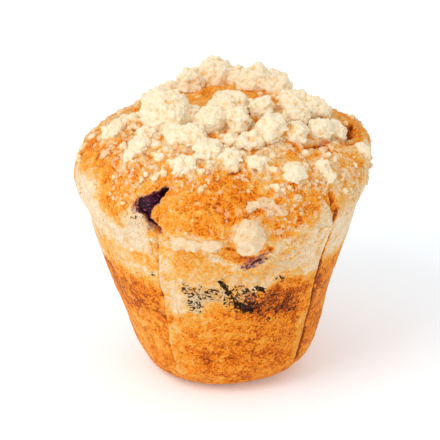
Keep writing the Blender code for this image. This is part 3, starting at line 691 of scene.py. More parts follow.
class Shader:
    """A material's nodes, joined by short calls."""

    def __init__(self, name):
        self.material = bpy.data.materials.new(name)
        self.material.use_nodes = True
        self.tree = self.material.node_tree
        self.surface = self.tree.nodes["Principled BSDF"]
        self.place = self.node("ShaderNodeTexCoord").outputs["Object"]

    def node(self, kind, inputs=(), **settings):
        made = self.tree.nodes.new(kind)
        for name, value in settings.items():
            setattr(made, name, value)
        for socket, value in dict(inputs).items():
            self.feed(made.inputs[socket], value)
        return made

    def feed(self, socket, value):
        if isinstance(value, bpy.types.NodeSocket):
            self.tree.links.new(value, socket)
        else:
            socket.default_value = value

    def set(self, name, value):
        self.feed(self.surface.inputs[name], value)

    def read(self, name):
        """The number that each vertex has under this name."""
        return self.node("ShaderNodeAttribute", attribute_name=name).outputs["Fac"]

    def noise(self, size, detail=2.0, distortion=0.0):
        made = self.node("ShaderNodeTexNoise", {"Vector": self.place, "Scale": 1.0 / size})
        made.inputs["Detail"].default_value = detail
        made.inputs["Distortion"].default_value = distortion
        made.inputs["Roughness"].default_value = NOISE_ROUGHNESS
        return made.outputs["Fac"]

    def cells(self, size):
        made = self.node("ShaderNodeTexVoronoi", {"Vector": self.place, "Scale": 1.0 / size})
        return made.outputs["Distance"]

    def maths(self, operation, one, other=0.0, third=0.0):
        made = self.node("ShaderNodeMath", operation=operation)
        for socket, value in zip(made.inputs, (one, other, third)):
            self.feed(socket, value)
        return made.outputs[0]

    def ranged(self, value, low, high, to_low=0.0, to_high=1.0, smooth=False):
        made = self.node("ShaderNodeMapRange", {"Value": value, "From Min": low, "From Max": high})
        made.inputs["To Min"].default_value = to_low
        made.inputs["To Max"].default_value = to_high
        made.interpolation_type = "SMOOTHSTEP" if smooth else "LINEAR"
        return made.outputs["Result"]

    def times(self, one, other):
        return self.maths("MULTIPLY", one, other)

    def stirred(self, value, texture, spread, amount, at_low=1.0, at_high=-1.0):
        """The value moved by a texture: by amount times at_low where it is low, times at_high where high."""
        turned = self.ranged(texture, 0.5 - spread, 0.5 + spread, at_low, at_high)
        return self.maths("MULTIPLY_ADD", turned, amount, value)

    def ramp(self, value, tones):
        made = self.node("ShaderNodeValToRGB", {"Fac": value})
        elements = made.color_ramp.elements
        first, *between, last = [(position, linear(*colour)) for position, *colour in tones]
        elements[0].position, elements[0].color = first
        elements[1].position, elements[1].color = last
        for position, colour in between:
            elements.new(position).color = colour
        return made.outputs["Color"]

    def mix(self, share, one, other):
        made = self.node("ShaderNodeMix", data_type="RGBA")
        self.feed(made.inputs["Factor"], share)
        self.feed(made.inputs[6], one)
        self.feed(made.inputs[7], other)
        return made.outputs[2]

    def soften(self, weight, radius, scale):
        """Lets light run a little way in under the surface."""
        self.set("Subsurface Weight", weight)
        self.set("Subsurface Radius", radius)
        self.set("Subsurface Scale", scale)

    def bump(self, height, distance):
        made = self.node("ShaderNodeBump", {"Height": height, "Distance": distance})
        self.set("Normal", made.outputs["Normal"])


def with_pores(shader, colour, bake_and_painted_light):
    """Dark pores, more of them where the crust is browner."""
    pores = shader.ranged(shader.cells(2.1 * MM), 0.10, 0.24, 1.0, 0.0, True)
    pores = shader.times(pores, shader.ranged(shader.noise(6.0 * MM), 0.46, 0.60))
    pores = shader.times(pores, shader.ranged(bake_and_painted_light, 0.3, 0.8, 0.15, 0.6))
    return shader.mix(pores, colour, linear(132, 52, 12))


def with_crumbs(shader, colour, fine):
    """Pale flecks and grains where crumbs melted into the crust."""
    cover = shader.read("cover")
    flecks = shader.ranged(shader.noise(2.6 * MM, 2.5, 0.4), 0.34, 0.66, -0.9, 0.0)
    flecks = shader.maths("MULTIPLY_ADD", cover, 0.85, flecks)
    flecks = shader.ranged(flecks, -0.04, 0.18, 0.0, 0.55, True)
    flecks = shader.times(flecks, shader.ranged(cover, 0.0, 0.12))
    heads = shader.ranged(shader.read("crumbed"), 0.15, 0.75, 0.0, 0.9, True)
    return shader.mix(shader.maths("MAXIMUM", flecks, heads), colour, shader.ramp(fine, DUSTED_TONES))


def with_stains(shader, colour, worms):
    """Grey wet dough, black specks and the berries' juice."""
    grey = shader.times(shader.read("grey"), shader.ranged(worms, 0.38, 0.62, 0.25, 1.0))
    colour = shader.mix(shader.times(grey, 0.8), colour, linear(214, 184, 146))
    specks = shader.read("specks")
    thin = shader.noise(1.9 * MM, 2.5, 2.2)
    black = shader.maths("ADD", specks, shader.ranged(thin, 0.36, 0.64, -0.75, 0.75))
    black = shader.ranged(black, 0.62, 0.84, 0.0, 0.96, True)
    black = shader.times(black, shader.ranged(specks, 0.02, 0.2))
    colour = shader.mix(black, colour, linear(44, 20, 14))
    juice = shader.read("juice")
    wet = shader.maths("ADD", juice, shader.ranged(worms, 0.35, 0.65, -0.18, 0.18))
    stained = shader.times(shader.ranged(wet, 0.16, 0.66, 0.0, 0.96, True), shader.ranged(juice, 0.02, 0.15))
    return shader.mix(stained, colour, shader.ramp(wet, JUICE_TONES))


def cake_material():
    shader = Shader("baked cake")
    worms = shader.noise(1.5 * MM, 2.5, 1.4)
    fine = shader.noise(0.6 * MM)
    mottle = shader.noise(4.5 * MM, 3.0, 0.4)
    bake_and_painted_light = shader.read("bake_and_painted_light")
    strength = shader.ranged(bake_and_painted_light, 0.1, 0.34, 0.08, 0.16, True)
    varied = shader.stirred(bake_and_painted_light, worms, 0.15, strength)
    varied = shader.stirred(varied, fine, 0.2, 0.10)
    varied = shader.stirred(varied, mottle, 0.2, strength, -0.9, 0.9)
    # Painted shade: the crust is coloured browner in its hollows, pores, furrows and creases
    varied = shader.maths("MULTIPLY_ADD", shader.read("painted_dip_shade"), 0.5, varied)
    colour = with_pores(shader, shader.ramp(varied, BAKED_TONES), bake_and_painted_light)
    colour = with_crumbs(shader, colour, fine)
    shader.set("Base Color", with_stains(shader, colour, worms))
    shader.set("Roughness", shader.ranged(varied, 0.2, 0.8, 0.80, 0.6))
    shader.set("Specular IOR Level", 0.1)
    shader.soften(0.1, (1.0, 0.5, 0.22), 1.2 * MM)
    shader.bump(shader.maths("MULTIPLY_ADD", fine, 0.5, worms), 1.1 * MM)
    return shader.material


def crumb_material():
    shader = Shader("crumb topping")
    grain = shader.noise(0.75 * MM, 3.0, 0.3)
    tiny = shader.noise(0.4 * MM)
    # Painted shade, tinted gold, in the hollows between grains, on top of the real toasted gold of crumb that
    # lies low near the crust
    warm = shader.maths("MULTIPLY_ADD", shader.read("painted_dip_shade"), 1.25, shader.read("low"))
    warm = shader.stirred(warm, grain, 0.2, 0.17)
    warm = shader.stirred(warm, tiny, 0.2, 0.08)
    warm = shader.stirred(warm, shader.noise(3.0 * MM), 0.15, 0.14, -1.0, 1.0)
    dots = shader.ranged(shader.cells(1.35 * MM), 0.08, 0.17, 0.5, 0.0, True)
    dots = shader.times(dots, shader.ranged(shader.noise(4.0 * MM), 0.5, 0.6))
    colour = shader.mix(dots, shader.ramp(warm, CRUMB_TONES), linear(196, 138, 70))
    # Painted shade: the two smooth lumps get a darker copy of the crumb colour
    colour = shader.mix(shader.times(shader.read("painted_lump_shade"), 0.3), colour, linear(206, 150, 98))
    shader.set("Base Color", colour)
    shader.set("Roughness", 0.82)
    shader.set("Specular IOR Level", 0.12)
    shader.soften(0.12, (1.0, 0.7, 0.4), 1.0 * MM)
    shader.bump(shader.maths("MULTIPLY_ADD", tiny, 0.5, grain), 0.6 * MM)
    return shader.material


def berry_material(name, tones):
    shader = Shader(name)
    folds = shader.noise(1.4 * MM, 3.0, 1.2)
    fine = shader.noise(0.5 * MM)
    # The skin's colour follows its bump: painted shade in the hollows and lighter ridges, which on the burst
    # skin are a painted highlight
    shader.set("Base Color", shader.ramp(shader.stirred(folds, fine, 0.2, 0.14, -1.0, 1.0), tones))
    shader.set("Roughness", shader.ranged(fine, 0.3, 0.7, 0.3, 0.55))
    shader.set("Specular IOR Level", 0.25)
    shader.bump(folds, 0.7 * MM)
    return shader.material


def floor_material():
    shader = Shader("pale floor")
    shader.set("Base Color", shader.ramp(shader.noise(0.3), FLOOR_TONES))
    shader.set("Emission Color", WHITE)
    shader.set("Emission Strength", FLOOR_GLOW)
    shader.set("Roughness", 0.9)
    shader.set("Specular IOR Level", 0.1)
    return shader.material


# ---- The cake ----

# The crease down the sunk side of each fold: how deep, and how far from the fold
CREASES = ((0.14 * MM, 0.3 * MM), (0.8 * MM, 1.5 * MM), (0.4 * MM, 0.3 * MM), (0.35 * MM, 0.3 * MM))
CREASE_WIDTH = 0.6 * MM
# The crust rises to meet a lump
MENISCUS_HEIGHT = 0.9 * MM
MENISCUS_REACH = 1.1 * MM
# Fine crumbs and paler crust round the lumps, all but in one patch
LITTER_REACH = 3.0 * MM
LITTER_COVER = 0.60
LITTER_BAKE = 0.42
UNLITTERED = (180, 73, 19, 11, 0)
HOLE_EDGE = 0.30 * MM
# Ragged waves of a hole's edge: size, shift and height
HOLE_WAVES = ((1.9 * MM, 31.0, 0.55 * MM), (0.8 * MM, 33.0, 0.30 * MM))
HOLE_REACH = 4.0 * MM
STAIN_REACH = 0.75 * MM
BURNT_REACH = 0.45 * MM
# The grid is finer near the holes, and in one patch: azimuth, height, half width and half height
REFINED_REACH = 3.0 * MM
REFINED_PATCH = (2.0, 39.0 * MM, 17.0 * MM, 8.5 * MM)


def outside_stroke(points, stroke, surface):
    """How far each point of the wall is outside a stroke of changing width, below zero inside it."""
    path = np.array([surface.on_wall(azimuth, height * MM)[0] for azimuth, height, _ in stroke])
    widths = np.array([width for _, _, width in stroke]) * MM
    return path_distance(points, path, widths)[0]


def hole_edges(points, surface):
    """Signed distance from each point to the ragged edge of each berry's hole."""
    edges = {}
    for name, strokes in HOLES.items():
        away = np.min([outside_stroke(points, stroke, surface) for stroke in strokes], axis=0)
        near = away < HOLE_REACH
        ragged = sum(noise_of(points[near], size, shift) * high for size, shift, high in HOLE_WAVES)
        away[near] += ragged * HOLE_RAGGEDNESS[name]
        edges[name] = away
    return edges


def refined(mesh, surface):
    """Splits the faces near the berries' holes and the speckled stain, which need a finer grid."""
    points = vectors_of(mesh, "co")
    near = np.zeros(len(points), bool)
    for strokes in HOLES.values():
        for stroke in strokes:
            near |= outside_stroke(points, stroke, surface) < REFINED_REACH
    azimuth, height, half_width, half_height = REFINED_PATCH
    spots = Spots(points)
    across = np.radians(angle_between(spots.azimuth, azimuth)) * spots.radius
    near |= np.hypot(across / half_width, (spots.height - height) / half_height) < 1.0
    form = bmesh.new()
    form.from_mesh(mesh)
    form.verts.ensure_lookup_table()
    edges = [edge for edge in form.edges if near[edge.verts[0].index] and near[edge.verts[1].index]]
    bmesh.ops.subdivide_edges(form, edges=edges, cuts=1, use_grid_fill=True)
    form.to_mesh(mesh)
    form.free()
    return mesh


def furrow_depth(points, surface):
    """How deep the cracks and furrows cut into the crust."""
    depth = np.zeros(len(points))
    wobble = noise_of(points, 2.6 * MM, 41.0)
    for path, half_width, deep in FURROWS.values():
        spots = np.array([surface.on_crown(azimuth, pitch)[0] for azimuth, pitch in path])
        away, along = path_distance(points, spots, np.zeros(len(spots)))
        width = half_width * (1.0 + 0.5 * wobble) * np.sin(math.pi * np.clip(along, 0.06, 0.94)) ** 0.5
        share = 1.0 - smooth_step(0.0, 1.0, (away + 0.5 * half_width * wobble) / (1.6 * width))
        depth = np.maximum(depth, deep * share)
    return depth


def crease_depth(spots):
    """How deep the crease runs down the sunk side of each fold."""
    depth = np.zeros(len(spots.points))
    spread = on_dough(spots, FOLD_SPREAD_ON_DOUGH)
    for index, (deep, beside) in enumerate(CREASES):
        depth += deep * np.exp(-(((spots.across_fold(index) + beside * spread) / CREASE_WIDTH) ** 2))
    on_wall = smooth_step(FOLD_FROM_HEIGHT, 3.0 * FOLD_FROM_HEIGHT, spots.height)
    return depth * on_wall * (1.0 - smooth_step(RIM_HEIGHT - LIP_HEIGHT, RIM_HEIGHT, spots.height))


def near_lumps(spots, lumps):
    """Distance from each point of the crown to the nearest crumb lump, as far as it matters."""
    far = 4.0 * MENISCUS_REACH
    distances = np.full(len(spots.points), far)
    for index in np.flatnonzero(spots.height > RIM_HEIGHT - 1.5 * LIP_HEIGHT):
        point = Vector(spots.points[index])
        for tree in lumps:
            found = tree.find_nearest(point, far)[3]
            if found is not None and found < distances[index]:
                distances[index] = found
    return distances


def crust_waves(points, spots):
    """The unevenness of the crust, coarser on the dome than on the wall."""
    on_dome = smooth_step(RIM_HEIGHT - LIP_HEIGHT, RIM_HEIGHT + LIP_HEIGHT, spots.height)
    waves = np.zeros(len(points))
    for index, (size, on_crown, on_wall) in enumerate(CRUST_WAVES):
        waves += noise_of(points, size, 50.0 + index) * (on_wall + (on_crown - on_wall) * on_dome)
    return waves


def pore_depth(points):
    pores = cells_of(points, PORE_SPACING, 60.0)
    chosen = smooth_step(0.05, 0.3, noise_of(points, 5.0 * MM, 61.0))
    return PORE_DEPTH * (1.0 - smooth_step(0.2, 1.0, pores / PORE_RADIUS)) * chosen


def crater_depth(edges):
    """How deep the holes over the berries cut in."""
    depths = [HOLE_DEPTHS[name] * (1.0 - smooth_step(-HOLE_EDGE, HOLE_EDGE, edges[name])) for name in edges]
    return np.max(depths, axis=0)


def crumb_cover(points, spots, edges):
    """How much of the crust melted crumbs cover."""
    cover = marked(spots, CRUSTED, True, 2.0 * MM)
    cover = np.clip(cover + 0.34 * noise_of(points, 2.6 * MM, 65.0) * smooth_step(0.0, 0.3, cover), 0.0, 1.0)
    return cover * smooth_step(0.6 * MM, 2.4 * MM, edges["berry_in_split"])


def litter(points, spots, gap):
    """How thickly fine crumbs lie, from the distance to the nearest lump."""
    littered = np.exp(-((gap / LITTER_REACH) ** 2))
    littered *= smooth_step(-0.5, 0.2, noise_of(points, 4.0 * MM, 68.0))
    return littered * (1.0 - spots.patch(UNLITTERED, True, 0.0))


def melted_crumbs(points, cover):
    """(heads, clods): how far melted crumbs stand out of the crust, all of them and the large ones alone."""
    grain = cells_of(points, CRUSTED_SPACING, 67.0) / CRUSTED_SPACING
    grain += 0.3 * noise_of(points, 1.2 * MM, 66.0)
    heads = smooth_step(-0.05, 0.22, 0.82 * cover - grain) * smooth_step(0.0, 0.15, cover)
    clods = cells_of(points, CLOD_SPACING, 69.0) / CLOD_SPACING
    clods = smooth_step(-0.05, 0.25, 0.66 * cover - clods) * smooth_step(0.1, 0.3, cover)
    return np.maximum(heads, clods), clods


def make_cake(mesh, surface, lumps, material):
    """Adds the fine relief to the smooth cake, and what its material reads."""
    points = vectors_of(mesh, "co")
    normals = vectors_of(mesh, "normal")
    spots = Spots(points)
    edges = hole_edges(points, surface)
    furrows = furrow_depth(points, surface)
    creases = crease_depth(spots)
    craters = crater_depth(edges)
    pores = pore_depth(points)
    gap = near_lumps(spots, lumps)
    littered = litter(points, spots, gap)
    cover = np.maximum(crumb_cover(points, spots, edges), LITTER_COVER * littered)
    heads, clods = melted_crumbs(points, cover)
    move = crust_waves(points, spots) + (heads * CRUSTED_RAISE + clods * CLOD_RAISE)
    move += MENISCUS_HEIGHT * np.exp(-((gap / MENISCUS_REACH) ** 2))
    move = (move - pores) * (1.0 - smooth_step(0.0, 1.0 * MM, craters)) - craters - furrows - creases
    off_base = smooth_step(0.0, 3.0 * MM, spots.height)
    moved = points + normals * (move * off_base)[:, None]
    moved[:, 2] = np.maximum(moved[:, 2], 0.0)
    set_points(mesh, moved)
    mesh.shade_smooth()
    # Painted shade: hollows, pores, furrows and creases are stored to colour the crust darker there
    painted_dip_shade = hollowness(mesh, 3) / (0.12 * MM) * 0.16 + pores / PORE_DEPTH * 0.3
    painted_dip_shade += furrows / MM * 0.25 + creases / MM * 0.3
    wet = np.minimum(edges["berry_in_split"], edges["berry_under_rim"])
    rims = np.exp(-np.maximum(wet, 0.0) / STAIN_REACH)
    burnt = np.exp(-np.maximum(edges["berry_in_wall"], 0.0) / BURNT_REACH)
    bake_and_painted_light = bake_and_painted_light_of(spots)
    store(mesh, "bake_and_painted_light", bake_and_painted_light + (LITTER_BAKE - bake_and_painted_light) * 0.8 * littered)
    store(mesh, "painted_dip_shade", np.clip(painted_dip_shade, -0.2, 0.8))
    store(mesh, "crumbed", heads)
    store(mesh, "cover", cover)
    store(mesh, "juice", np.maximum(marked(spots, JUICE, False, 1.6 * MM), 0.92 * rims ** 1.6))
    store(mesh, "grey", marked(spots, GREY, False, 2.6 * MM))
    store(mesh, "specks", np.maximum(marked(spots, SPECKS, False, 1.2 * MM), 1.5 * burnt))
    new_piece("muffin_cake", mesh, ["cake"], material)


# ---- Crumb topping ----

LUMP_VOXEL = 0.27 * MM
LOOSE_VOXEL = 0.31 * MM
# Grains and nodules on a lump: least and largest radius, how many to a square metre, and how deep they sit
GRAINS = ((0.34 * MM, 0.95 * MM), 0.55 / (MM * MM), 0.25)
NODULES = ((1.0 * MM, 1.9 * MM), 0.035 / (MM * MM), 0.62)
# Rubble at a lump's foot
RUBBLE_RADII = (0.4 * MM, 1.1 * MM)
RUBBLE_PER_AREA = 0.16 / (MM * MM)
RUBBLE_REACH = 1.6 * MM
RUBBLE_MOST_HEIGHT = 2.0 * MM
LUMP_SINK = 0.7 * MM
# Two lumps are smooth dough, with fewer grains
SMOOTH_LUMPS = ("crumb_rim", "crumb_lip")
SMOOTH_SHARE = 0.4
# How a skin is broken up: cells as size, shift, level and height, and waves as size, shift and height
SKIN_CELLS = (
    (3.0 * MM, 73.0, 0.5, 0.9 * MM),
    (1.25 * MM, 70.0, 0.55, 0.42 * MM),
    (0.7 * MM, 71.0, 0.55, 0.26 * MM),
)
SKIN_WAVES = ((2.4 * MM, 72.0, 0.30 * MM), (6.0 * MM, 74.0, 0.6 * MM))


def unit_ball(detail):
    """(points, triangles) of a ball of radius 1."""
    form = bmesh.new()
    bmesh.ops.create_icosphere(form, subdivisions=detail, radius=1.0)
    points = np.array([vertex.co for vertex in form.verts])
    triangles = np.array([[vertex.index for vertex in face.verts] for face in form.faces])
    form.free()
    return points, triangles


def gathered(bodies):
    """(points, triangles) of several bodies as one."""
    points, triangles, total = [], [], 0
    for body_points, body_triangles in bodies:
        points.append(body_points)
        triangles.append(body_triangles + total)
        total += len(body_points)
    return np.vstack(points), np.vstack(triangles)


def mesh_of(name, points, triangles):
    mesh = bpy.data.meshes.new(name)
    mesh.from_pydata(points.tolist(), [], triangles.tolist())
    mesh.update()
    return mesh


def skinned(name, bodies, voxel, relaxing):
    """One closed even skin round all the bodies."""
    maker = new_object(name + "_maker", mesh_of(name + "_maker", *gathered(bodies)))
    remesh = maker.modifiers.new("Skin", "REMESH")
    remesh.mode = "VOXEL"
    remesh.voxel_size = voxel
    relax = maker.modifiers.new("Relax", "SMOOTH")
    relax.factor = 0.5
    relax.iterations = relaxing
    mesh = bpy.data.meshes.new_from_object(maker.evaluated_get(bpy.context.evaluated_depsgraph_get()))
    mesh.name = name
    bpy.data.objects.remove(maker)
    return mesh


def roughened(mesh, depth):
    """Breaks a skin up into clods and small grains."""
    points = vectors_of(mesh, "co")
    move = np.zeros(len(points))
    for size, shift, level, high in SKIN_CELLS:
        move += (level - cells_of(points, size, shift) / size) * high
    for size, shift, high in SKIN_WAVES:
        move += noise_of(points, size, shift) * high
    set_points(mesh, points + vectors_of(mesh, "normal") * (move * depth)[:, None])
    mesh.shade_smooth()


def shade_crumb(mesh, surface, melted, painted_lump_shade=0.0):
    """Stores what the crumb material reads: painted shade in the hollows between grains, how near the crust
    each point lies, and a painted shade that dims the whole lump.
    """
    narrow = hollowness(mesh, 4) / (0.16 * MM) * 0.26
    broad = hollowness(mesh, 24) / (0.40 * MM) * 0.20
    store(mesh, "painted_dip_shade", np.clip(narrow + broad - 0.03, -0.2, 0.42) * (1.0 - 0.6 * painted_lump_shade))
    over = surface.height_over(vectors_of(mesh, "co"))
    store(mesh, "low", melted + 0.6 * (1.0 - smooth_step(0.0, 2.2 * MM, over)))
    store(mesh, "painted_lump_shade", np.full(len(over), painted_lump_shade))


def some_radius(radii, dice):
    """A radius between the two, more often a small one."""
    return radii[0] + (radii[1] - radii[0]) * dice.random() ** 1.6


def spot_on(face, dice):
    """A chance spot on a triangle."""
    low, high = sorted((dice.random(), dice.random()))
    one, two, three = [loop.vert.co for loop in face.loops]
    return one * low + two * (high - low) + three * (1.0 - high)


def make_lump(node_name, surface, material, ball, dice):
    """One of the solid's lumps with its grains and the rubble at its foot, and the tree of its skin."""
    form = bmesh.new()
    form.from_mesh(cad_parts[node_name].data)
    bmesh.ops.triangulate(form, faces=form.faces)
    faces = list(form.faces)
    areas = [face.calc_area() for face in faces]
    total = sum(areas)
    core = np.array([vertex.co for vertex in form.verts])
    triangles = np.array([[vertex.index for vertex in face.verts] for face in faces])
    middle = Vector(core.mean(axis=0))
    inward = np.array((CROWN_MIDDLE - middle).normalized())
    bodies = [(core, triangles), (core + inward * LUMP_SINK, triangles)]
    smooth = node_name in SMOOTH_LUMPS
    share = SMOOTH_SHARE if smooth else 1.0

    def add(spot, radius):
        bodies.append((ball[0] * radius + np.array(spot), ball[1]))

    for radii, crowding, sunk in (GRAINS,) if smooth else (GRAINS, NODULES):
        for face in dice.choices(faces, weights=areas, k=int(total * (crowding * share))):
            radius = some_radius(radii, dice)
            add(spot_on(face, dice) - face.normal * radius * sunk, radius)
    for face in dice.choices(faces, weights=areas, k=0 if smooth else int(total * RUBBLE_PER_AREA)):
        spot = spot_on(face, dice)
        spot += (spot - middle).normalized() * dice.uniform(0.0, RUBBLE_REACH)
        foot, normal, _, away = surface.tree.find_nearest(spot)
        if away < RUBBLE_MOST_HEIGHT:
            radius = some_radius(RUBBLE_RADII, dice)
            add(foot + normal * radius * dice.uniform(0.0, 0.5), radius)
    form.free()
    mesh = skinned(node_name + "_grain", bodies, LUMP_VOXEL, 4 if smooth else 1)
    roughened(mesh, 0.55 if smooth else 1.0)
    # The smooth lumps are dimmed by a painted shade share of 0.9, the others not at all
    shade_crumb(mesh, surface, 0.20 if smooth else 0.04, 0.9 if smooth else 0.0)
    new_piece(node_name + "_grain", mesh, [node_name], material)
    return Surface(mesh).tree


# Drifts of loose crumbs: azimuth, pitch, half width and half height in millimetres, how many, and the
# radius of the largest in millimetres
DRIFTS = (
    (-48, 52, 4, 4, 5, 2.9), (-41, 47, 4, 4, 5, 2.2), (-27, 43, 5, 4, 7, 1.9), (-14, 44, 7, 4, 9, 2.3),
    (4, 50, 5, 6, 7, 2.4), (16, 47, 5, 4, 7, 2.2), (26, 45, 5, 4, 7, 2.0), (37, 41, 5, 5, 6, 2.4),
    (52, 44, 6, 4, 7, 2.2), (63, 44, 5, 4, 6, 2.2), (54, 34, 6, 6, 8, 2.0), (66, 36, 5, 6, 6, 1.8),
    (28, 34, 5, 4, 6, 1.6), (12, 60, 8, 6, 8, 2.4), (-30, 62, 8, 5, 7, 2.2), (45, 60, 8, 6, 8, 2.4),
    (-72, 56, 8, 5, 7, 2.4), (-15, 44, 9, 6, 13, 1.4), (-9, 52, 5, 6, 10, 1.4), (8, 45, 8, 7, 12, 1.3),
    (24, 42, 9, 7, 17, 1.3), (38, 40, 8, 8, 17, 1.3), (52, 36, 8, 9, 17, 1.3), (64, 32, 8, 9, 14, 1.2),
    (36, 27, 10, 8, 19, 1.0), (52, 22, 8, 8, 13, 1.0), (72, 44, 8, 8, 12, 1.3), (-40, 42, 12, 7, 17, 1.3),
    (-60, 42, 10, 6, 10, 1.3), (-82, 44, 9, 7, 10, 1.4), (-45, 32, 10, 7, 11, 0.7), (-70, 36, 8, 6, 5, 1.0),
    (-38, 26, 5, 6, 7, 0.8), (-8, 37, 12, 4, 7, 0.9), (-30, 55, 12, 8, 17, 1.5), (10, 58, 12, 9, 14, 1.5),
    (45, 56, 14, 9, 16, 1.5), (80, 55, 12, 9, 17, 1.5), (-70, 55, 12, 8, 14, 1.5), (40, 72, 6, 8, 8, 1.4),
    (-60, 70, 8, 8, 10, 1.4), (120, 50, 8, 6, 6, 2.6), (150, 36, 8, 5, 6, 2.4), (190, 44, 8, 5, 6, 2.6),
    (225, 40, 8, 5, 6, 2.4), (255, 52, 8, 5, 6, 2.6),
)
# Dustings of single grains, in the same way
DUSTINGS = (
    (22, 25, 8, 5, 60, 0.45), (26, 17, 8, 6, 50, 0.4), (-8, 30, 16, 9, 22, 0.3), (-42, 28, 12, 9, 50, 0.4),
    (40, 36, 16, 12, 70, 0.5), (60, 34, 12, 14, 50, 0.5), (5, 44, 16, 8, 50, 0.5),
    (-50, 42, 20, 8, 40, 0.5), (-80, 42, 12, 8, 24, 0.45), (20, 60, 24, 12, 90, 0.55),
    (-60, 60, 20, 12, 70, 0.55), (75, 52, 16, 14, 80, 0.55),
)
# At the back they lie anywhere: how many, and the radius of the largest in millimetres
BACK_CRUMBS = (240, 1.6)
BACK_DUST = (420, 0.5)
# How far loose crumbs keep off the holes and the cracks
HOLE_BARE_REACH = 3.0 * MM
CRACK_BARE_REACH = 1.7 * MM
DUST_SHAPES = 12
# The crown's distance from its middle in millimetres, to turn lengths on it into angles round it and up it
AROUND_REACH = 40.0
UP_REACH = 38.0


def bare_places(surface):
    """The places that loose crumbs keep off, as points with a reach: the berries' holes and the cracks."""
    places = []
    for strokes in HOLES.values():
        for stroke in strokes:
            spots = [surface.on_wall(azimuth, height * MM)[0] for azimuth, height, _ in stroke]
            places += [(spot, HOLE_BARE_REACH) for spot in spots]
    for path, _, _ in FURROWS.values():
        spots = [surface.on_crown(azimuth, pitch)[0] for azimuth, pitch in path]
        for one, two in zip(spots, spots[1:]):
            places += [(one.lerp(two, share), CRACK_BARE_REACH) for share in (0.0, 0.33, 0.67, 1.0)]
    return places


def scattered(drifts, back, surface, bare, dice):
    """(point, normal, radius) of crumbs that lie in drifts at the front and anywhere at the back."""
    back_count, back_largest = back
    places = []
    for azimuth, pitch, half_width, half_height, count, largest in drifts:
        for _ in range(count):
            across, up = dice.gauss(0.0, 0.5), dice.gauss(0.0, 0.5)
            flat = max(0.25, math.cos(math.radians(pitch)))
            turned = azimuth + math.degrees(across * half_width / (AROUND_REACH * flat))
            raised = min(88.0, pitch + math.degrees(up * half_height / UP_REACH))
            places.append((turned, raised, largest * MM * (0.45 + 0.55 * dice.random() ** 1.7)))
    for _ in range(back_count):
        pitch = math.degrees(math.asin(dice.uniform(0.42, 0.999)))
        radius = back_largest * MM * (0.3 + 0.7 * dice.random() ** 1.7)
        places.append((dice.uniform(80.0, 280.0), pitch, radius))
    found = []
    for azimuth, pitch, radius in places:
        point, normal = surface.on_crown(azimuth, pitch)
        if all((point - spot).length > reach for spot, reach in bare):
            found.append((point, normal, radius))
    return found


def make_loose_crumbs(surface, bare, material, ball, dice):
    """Broken crumbs, each a few grains that cling together, as one skin."""
    bodies = []
    for point, normal, radius in scattered(DRIFTS, BACK_CRUMBS, surface, bare, dice):
        place = facing_frame(point, normal)
        for grain in range(dice.choice((1, 2, 3, 3, 4, 5))):
            size = radius * (dice.uniform(0.7, 0.9) if grain == 0 else dice.uniform(0.35, 0.65))
            spread = 0.0 if grain == 0 else radius * 0.75
            away = Vector((dice.gauss(0, spread), dice.gauss(0, spread), size * dice.uniform(-0.25, 0.35)))
            bodies.append((ball[0] * max(size, 1.2 * LOOSE_VOXEL) + np.array(place @ away), ball[1]))
    mesh = skinned("loose_crumbs", bodies, LOOSE_VOXEL, 1)
    roughened(mesh, 0.7)
    shade_crumb(mesh, surface, 0.10)
    new_piece("loose_crumbs", mesh, [], material)


def make_crumb_dust(surface, bare, material, dice):
    """Single grains of crumb, too fine to cling together."""
    points, triangles = unit_ball(1)
    shapes = []
    for index in range(DUST_SHAPES):
        lumpy = 1.0 + 0.5 * noise_of(points, 0.8, 7.0 * index)
        shapes.append(points * lumpy[:, None] * (1.0, dice.uniform(0.6, 0.9), dice.uniform(0.5, 0.8)))
    bodies = []
    for point, normal, radius in scattered(DUSTINGS, BACK_DUST, surface, bare, dice):
        turn = Matrix.Rotation(dice.uniform(0.0, 2.0 * math.pi), 4, "Z")
        place = np.array(facing_frame(point, normal) @ turn)
        shape = dice.choice(shapes) * radius
        bodies.append((shape @ place[:3, :3].T + place[:3, 3], triangles))
    mesh = mesh_of("crumb_dust", *gathered(bodies))
    mesh.shade_smooth()
    shade_crumb(mesh, surface, 0.30)
    new_piece("crumb_dust", mesh, [], material)


# ---- Berries ----


def make_berry(name, surface, material):
    """A baked berry: a round wrinkled skin, just under the crust."""
    azimuth, height, radius, depth = BERRIES[name]
    spot, direction = surface.on_wall(azimuth, height)
    middle = spot - direction * (depth + radius)
    form = bmesh.new()
    bmesh.ops.create_icosphere(form, subdivisions=5, radius=1.0)
    for vertex in form.verts:
        co = vertex.co
        wrinkle = 1.0 - abs(noise.noise(co * 3.1 + middle / MM)) * 2.0
        broad = noise.noise(co * 1.4 + middle / MM)
        fine = noise.noise(co * 9.0)
        vertex.co = co * (0.93 + 0.07 * wrinkle + 0.06 * broad + 0.025 * fine)
    place = facing_frame(middle, direction) @ Matrix.Scale(radius, 4)
    bmesh.ops.transform(form, matrix=place, verts=form.verts)
    mesh = bpy.data.meshes.new(name + "_skin")
    form.to_mesh(mesh)
    form.free()
    mesh.shade_smooth()
    new_piece(name + "_skin", mesh, [name], material)


# ---- Camera, light and floor ----

VIEW_ELEVATION = math.radians(24.0)
VIEW_DISTANCE = 0.9
VIEW_AIM = Vector((-0.31 * MM, 0.0, 47.0 * MM))
VIEW_RISE = 0.53 * MM
SENSOR = 36.0
VIEW_WIDTH = 136.4 * MM
# Lights: where from, distance, size and power
LIGHTS = {
    "key": ((-0.75, -0.75, 1.0), 0.8, 0.45, 2.5),
    "fill": ((-0.3, -1.0, 0.25), 0.9, 0.6, 0.12),
}
LIGHT_AIM = Vector((0.0, 0.0, 50.0 * MM))
WORLD_STRENGTH = 0.84
FLOOR_HALF = 4.0


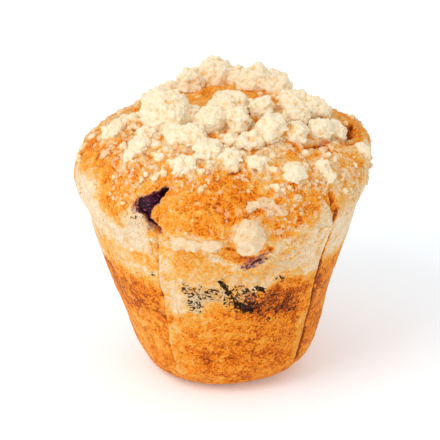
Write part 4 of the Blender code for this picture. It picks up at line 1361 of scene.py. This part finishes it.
def add_camera():
    back = Vector((0.0, -math.cos(VIEW_ELEVATION), math.sin(VIEW_ELEVATION)))
    up = Vector((0.0, math.sin(VIEW_ELEVATION), math.cos(VIEW_ELEVATION)))
    data = bpy.data.cameras.new("camera")
    data.sensor_width = SENSOR
    data.lens = SENSOR * VIEW_DISTANCE / VIEW_WIDTH
    data.clip_start = 0.01
    data.clip_end = 50.0
    camera = new_object("camera", data)
    camera.location = VIEW_AIM + up * VIEW_RISE + back * VIEW_DISTANCE
    camera.rotation_euler = (-back).to_track_quat("-Z", "Y").to_euler()
    bpy.context.scene.camera = camera


def add_lights():
    world = bpy.data.worlds.new("studio")
    world.use_nodes = True
    background = world.node_tree.nodes["Background"]
    background.inputs["Color"].default_value = WHITE
    background.inputs["Strength"].default_value = WORLD_STRENGTH
    bpy.context.scene.world = world
    bpy.context.scene.view_settings.view_transform = "Standard"
    for name, (direction, distance, size, power) in LIGHTS.items():
        data = bpy.data.lights.new(name, "AREA")
        data.energy = power
        data.size = size
        light = new_object(name, data)
        towards = Vector(direction).normalized()
        light.location = LIGHT_AIM + towards * distance
        light.rotation_euler = (-towards).to_track_quat("-Z", "Y").to_euler()


def add_floor():
    mesh = bpy.data.meshes.new("floor")
    corners = [(x * FLOOR_HALF, y * FLOOR_HALF, 0.0) for x, y in ((-1, -1), (1, -1), (1, 1), (-1, 1))]
    mesh.from_pydata(corners, [], [(0, 1, 2, 3)])
    mesh.materials.append(floor_material())
    floor = new_object("floor", mesh)


def main():
    add_camera()
    add_lights()
    add_floor()
    dice = random.Random(5)
    crumb = crumb_material()
    mesh = mesh_of_cake(*cake_points())
    surface = Surface(mesh)
    ball = unit_ball(2)
    lumps = []
    for name in sorted(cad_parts):
        if name.startswith("crumb_"):
            lumps.append(make_lump(name, surface, crumb, ball, dice))
    make_cake(refined(mesh, surface), surface, lumps, cake_material())
    burst = berry_material("burst berry", BURST_SKIN_SHADE_HIGHLIGHT_TONES)
    dried = berry_material("dried berry", DRIED_SKIN_SHADE_TONES)
    for name in BERRIES:
        make_berry(name, surface, dried if name == "berry_in_wall" else burst)
    bare = bare_places(surface)
    make_loose_crumbs(surface, bare, crumb, ball, dice)
    make_crumb_dust(surface, bare, crumb, dice)


main()
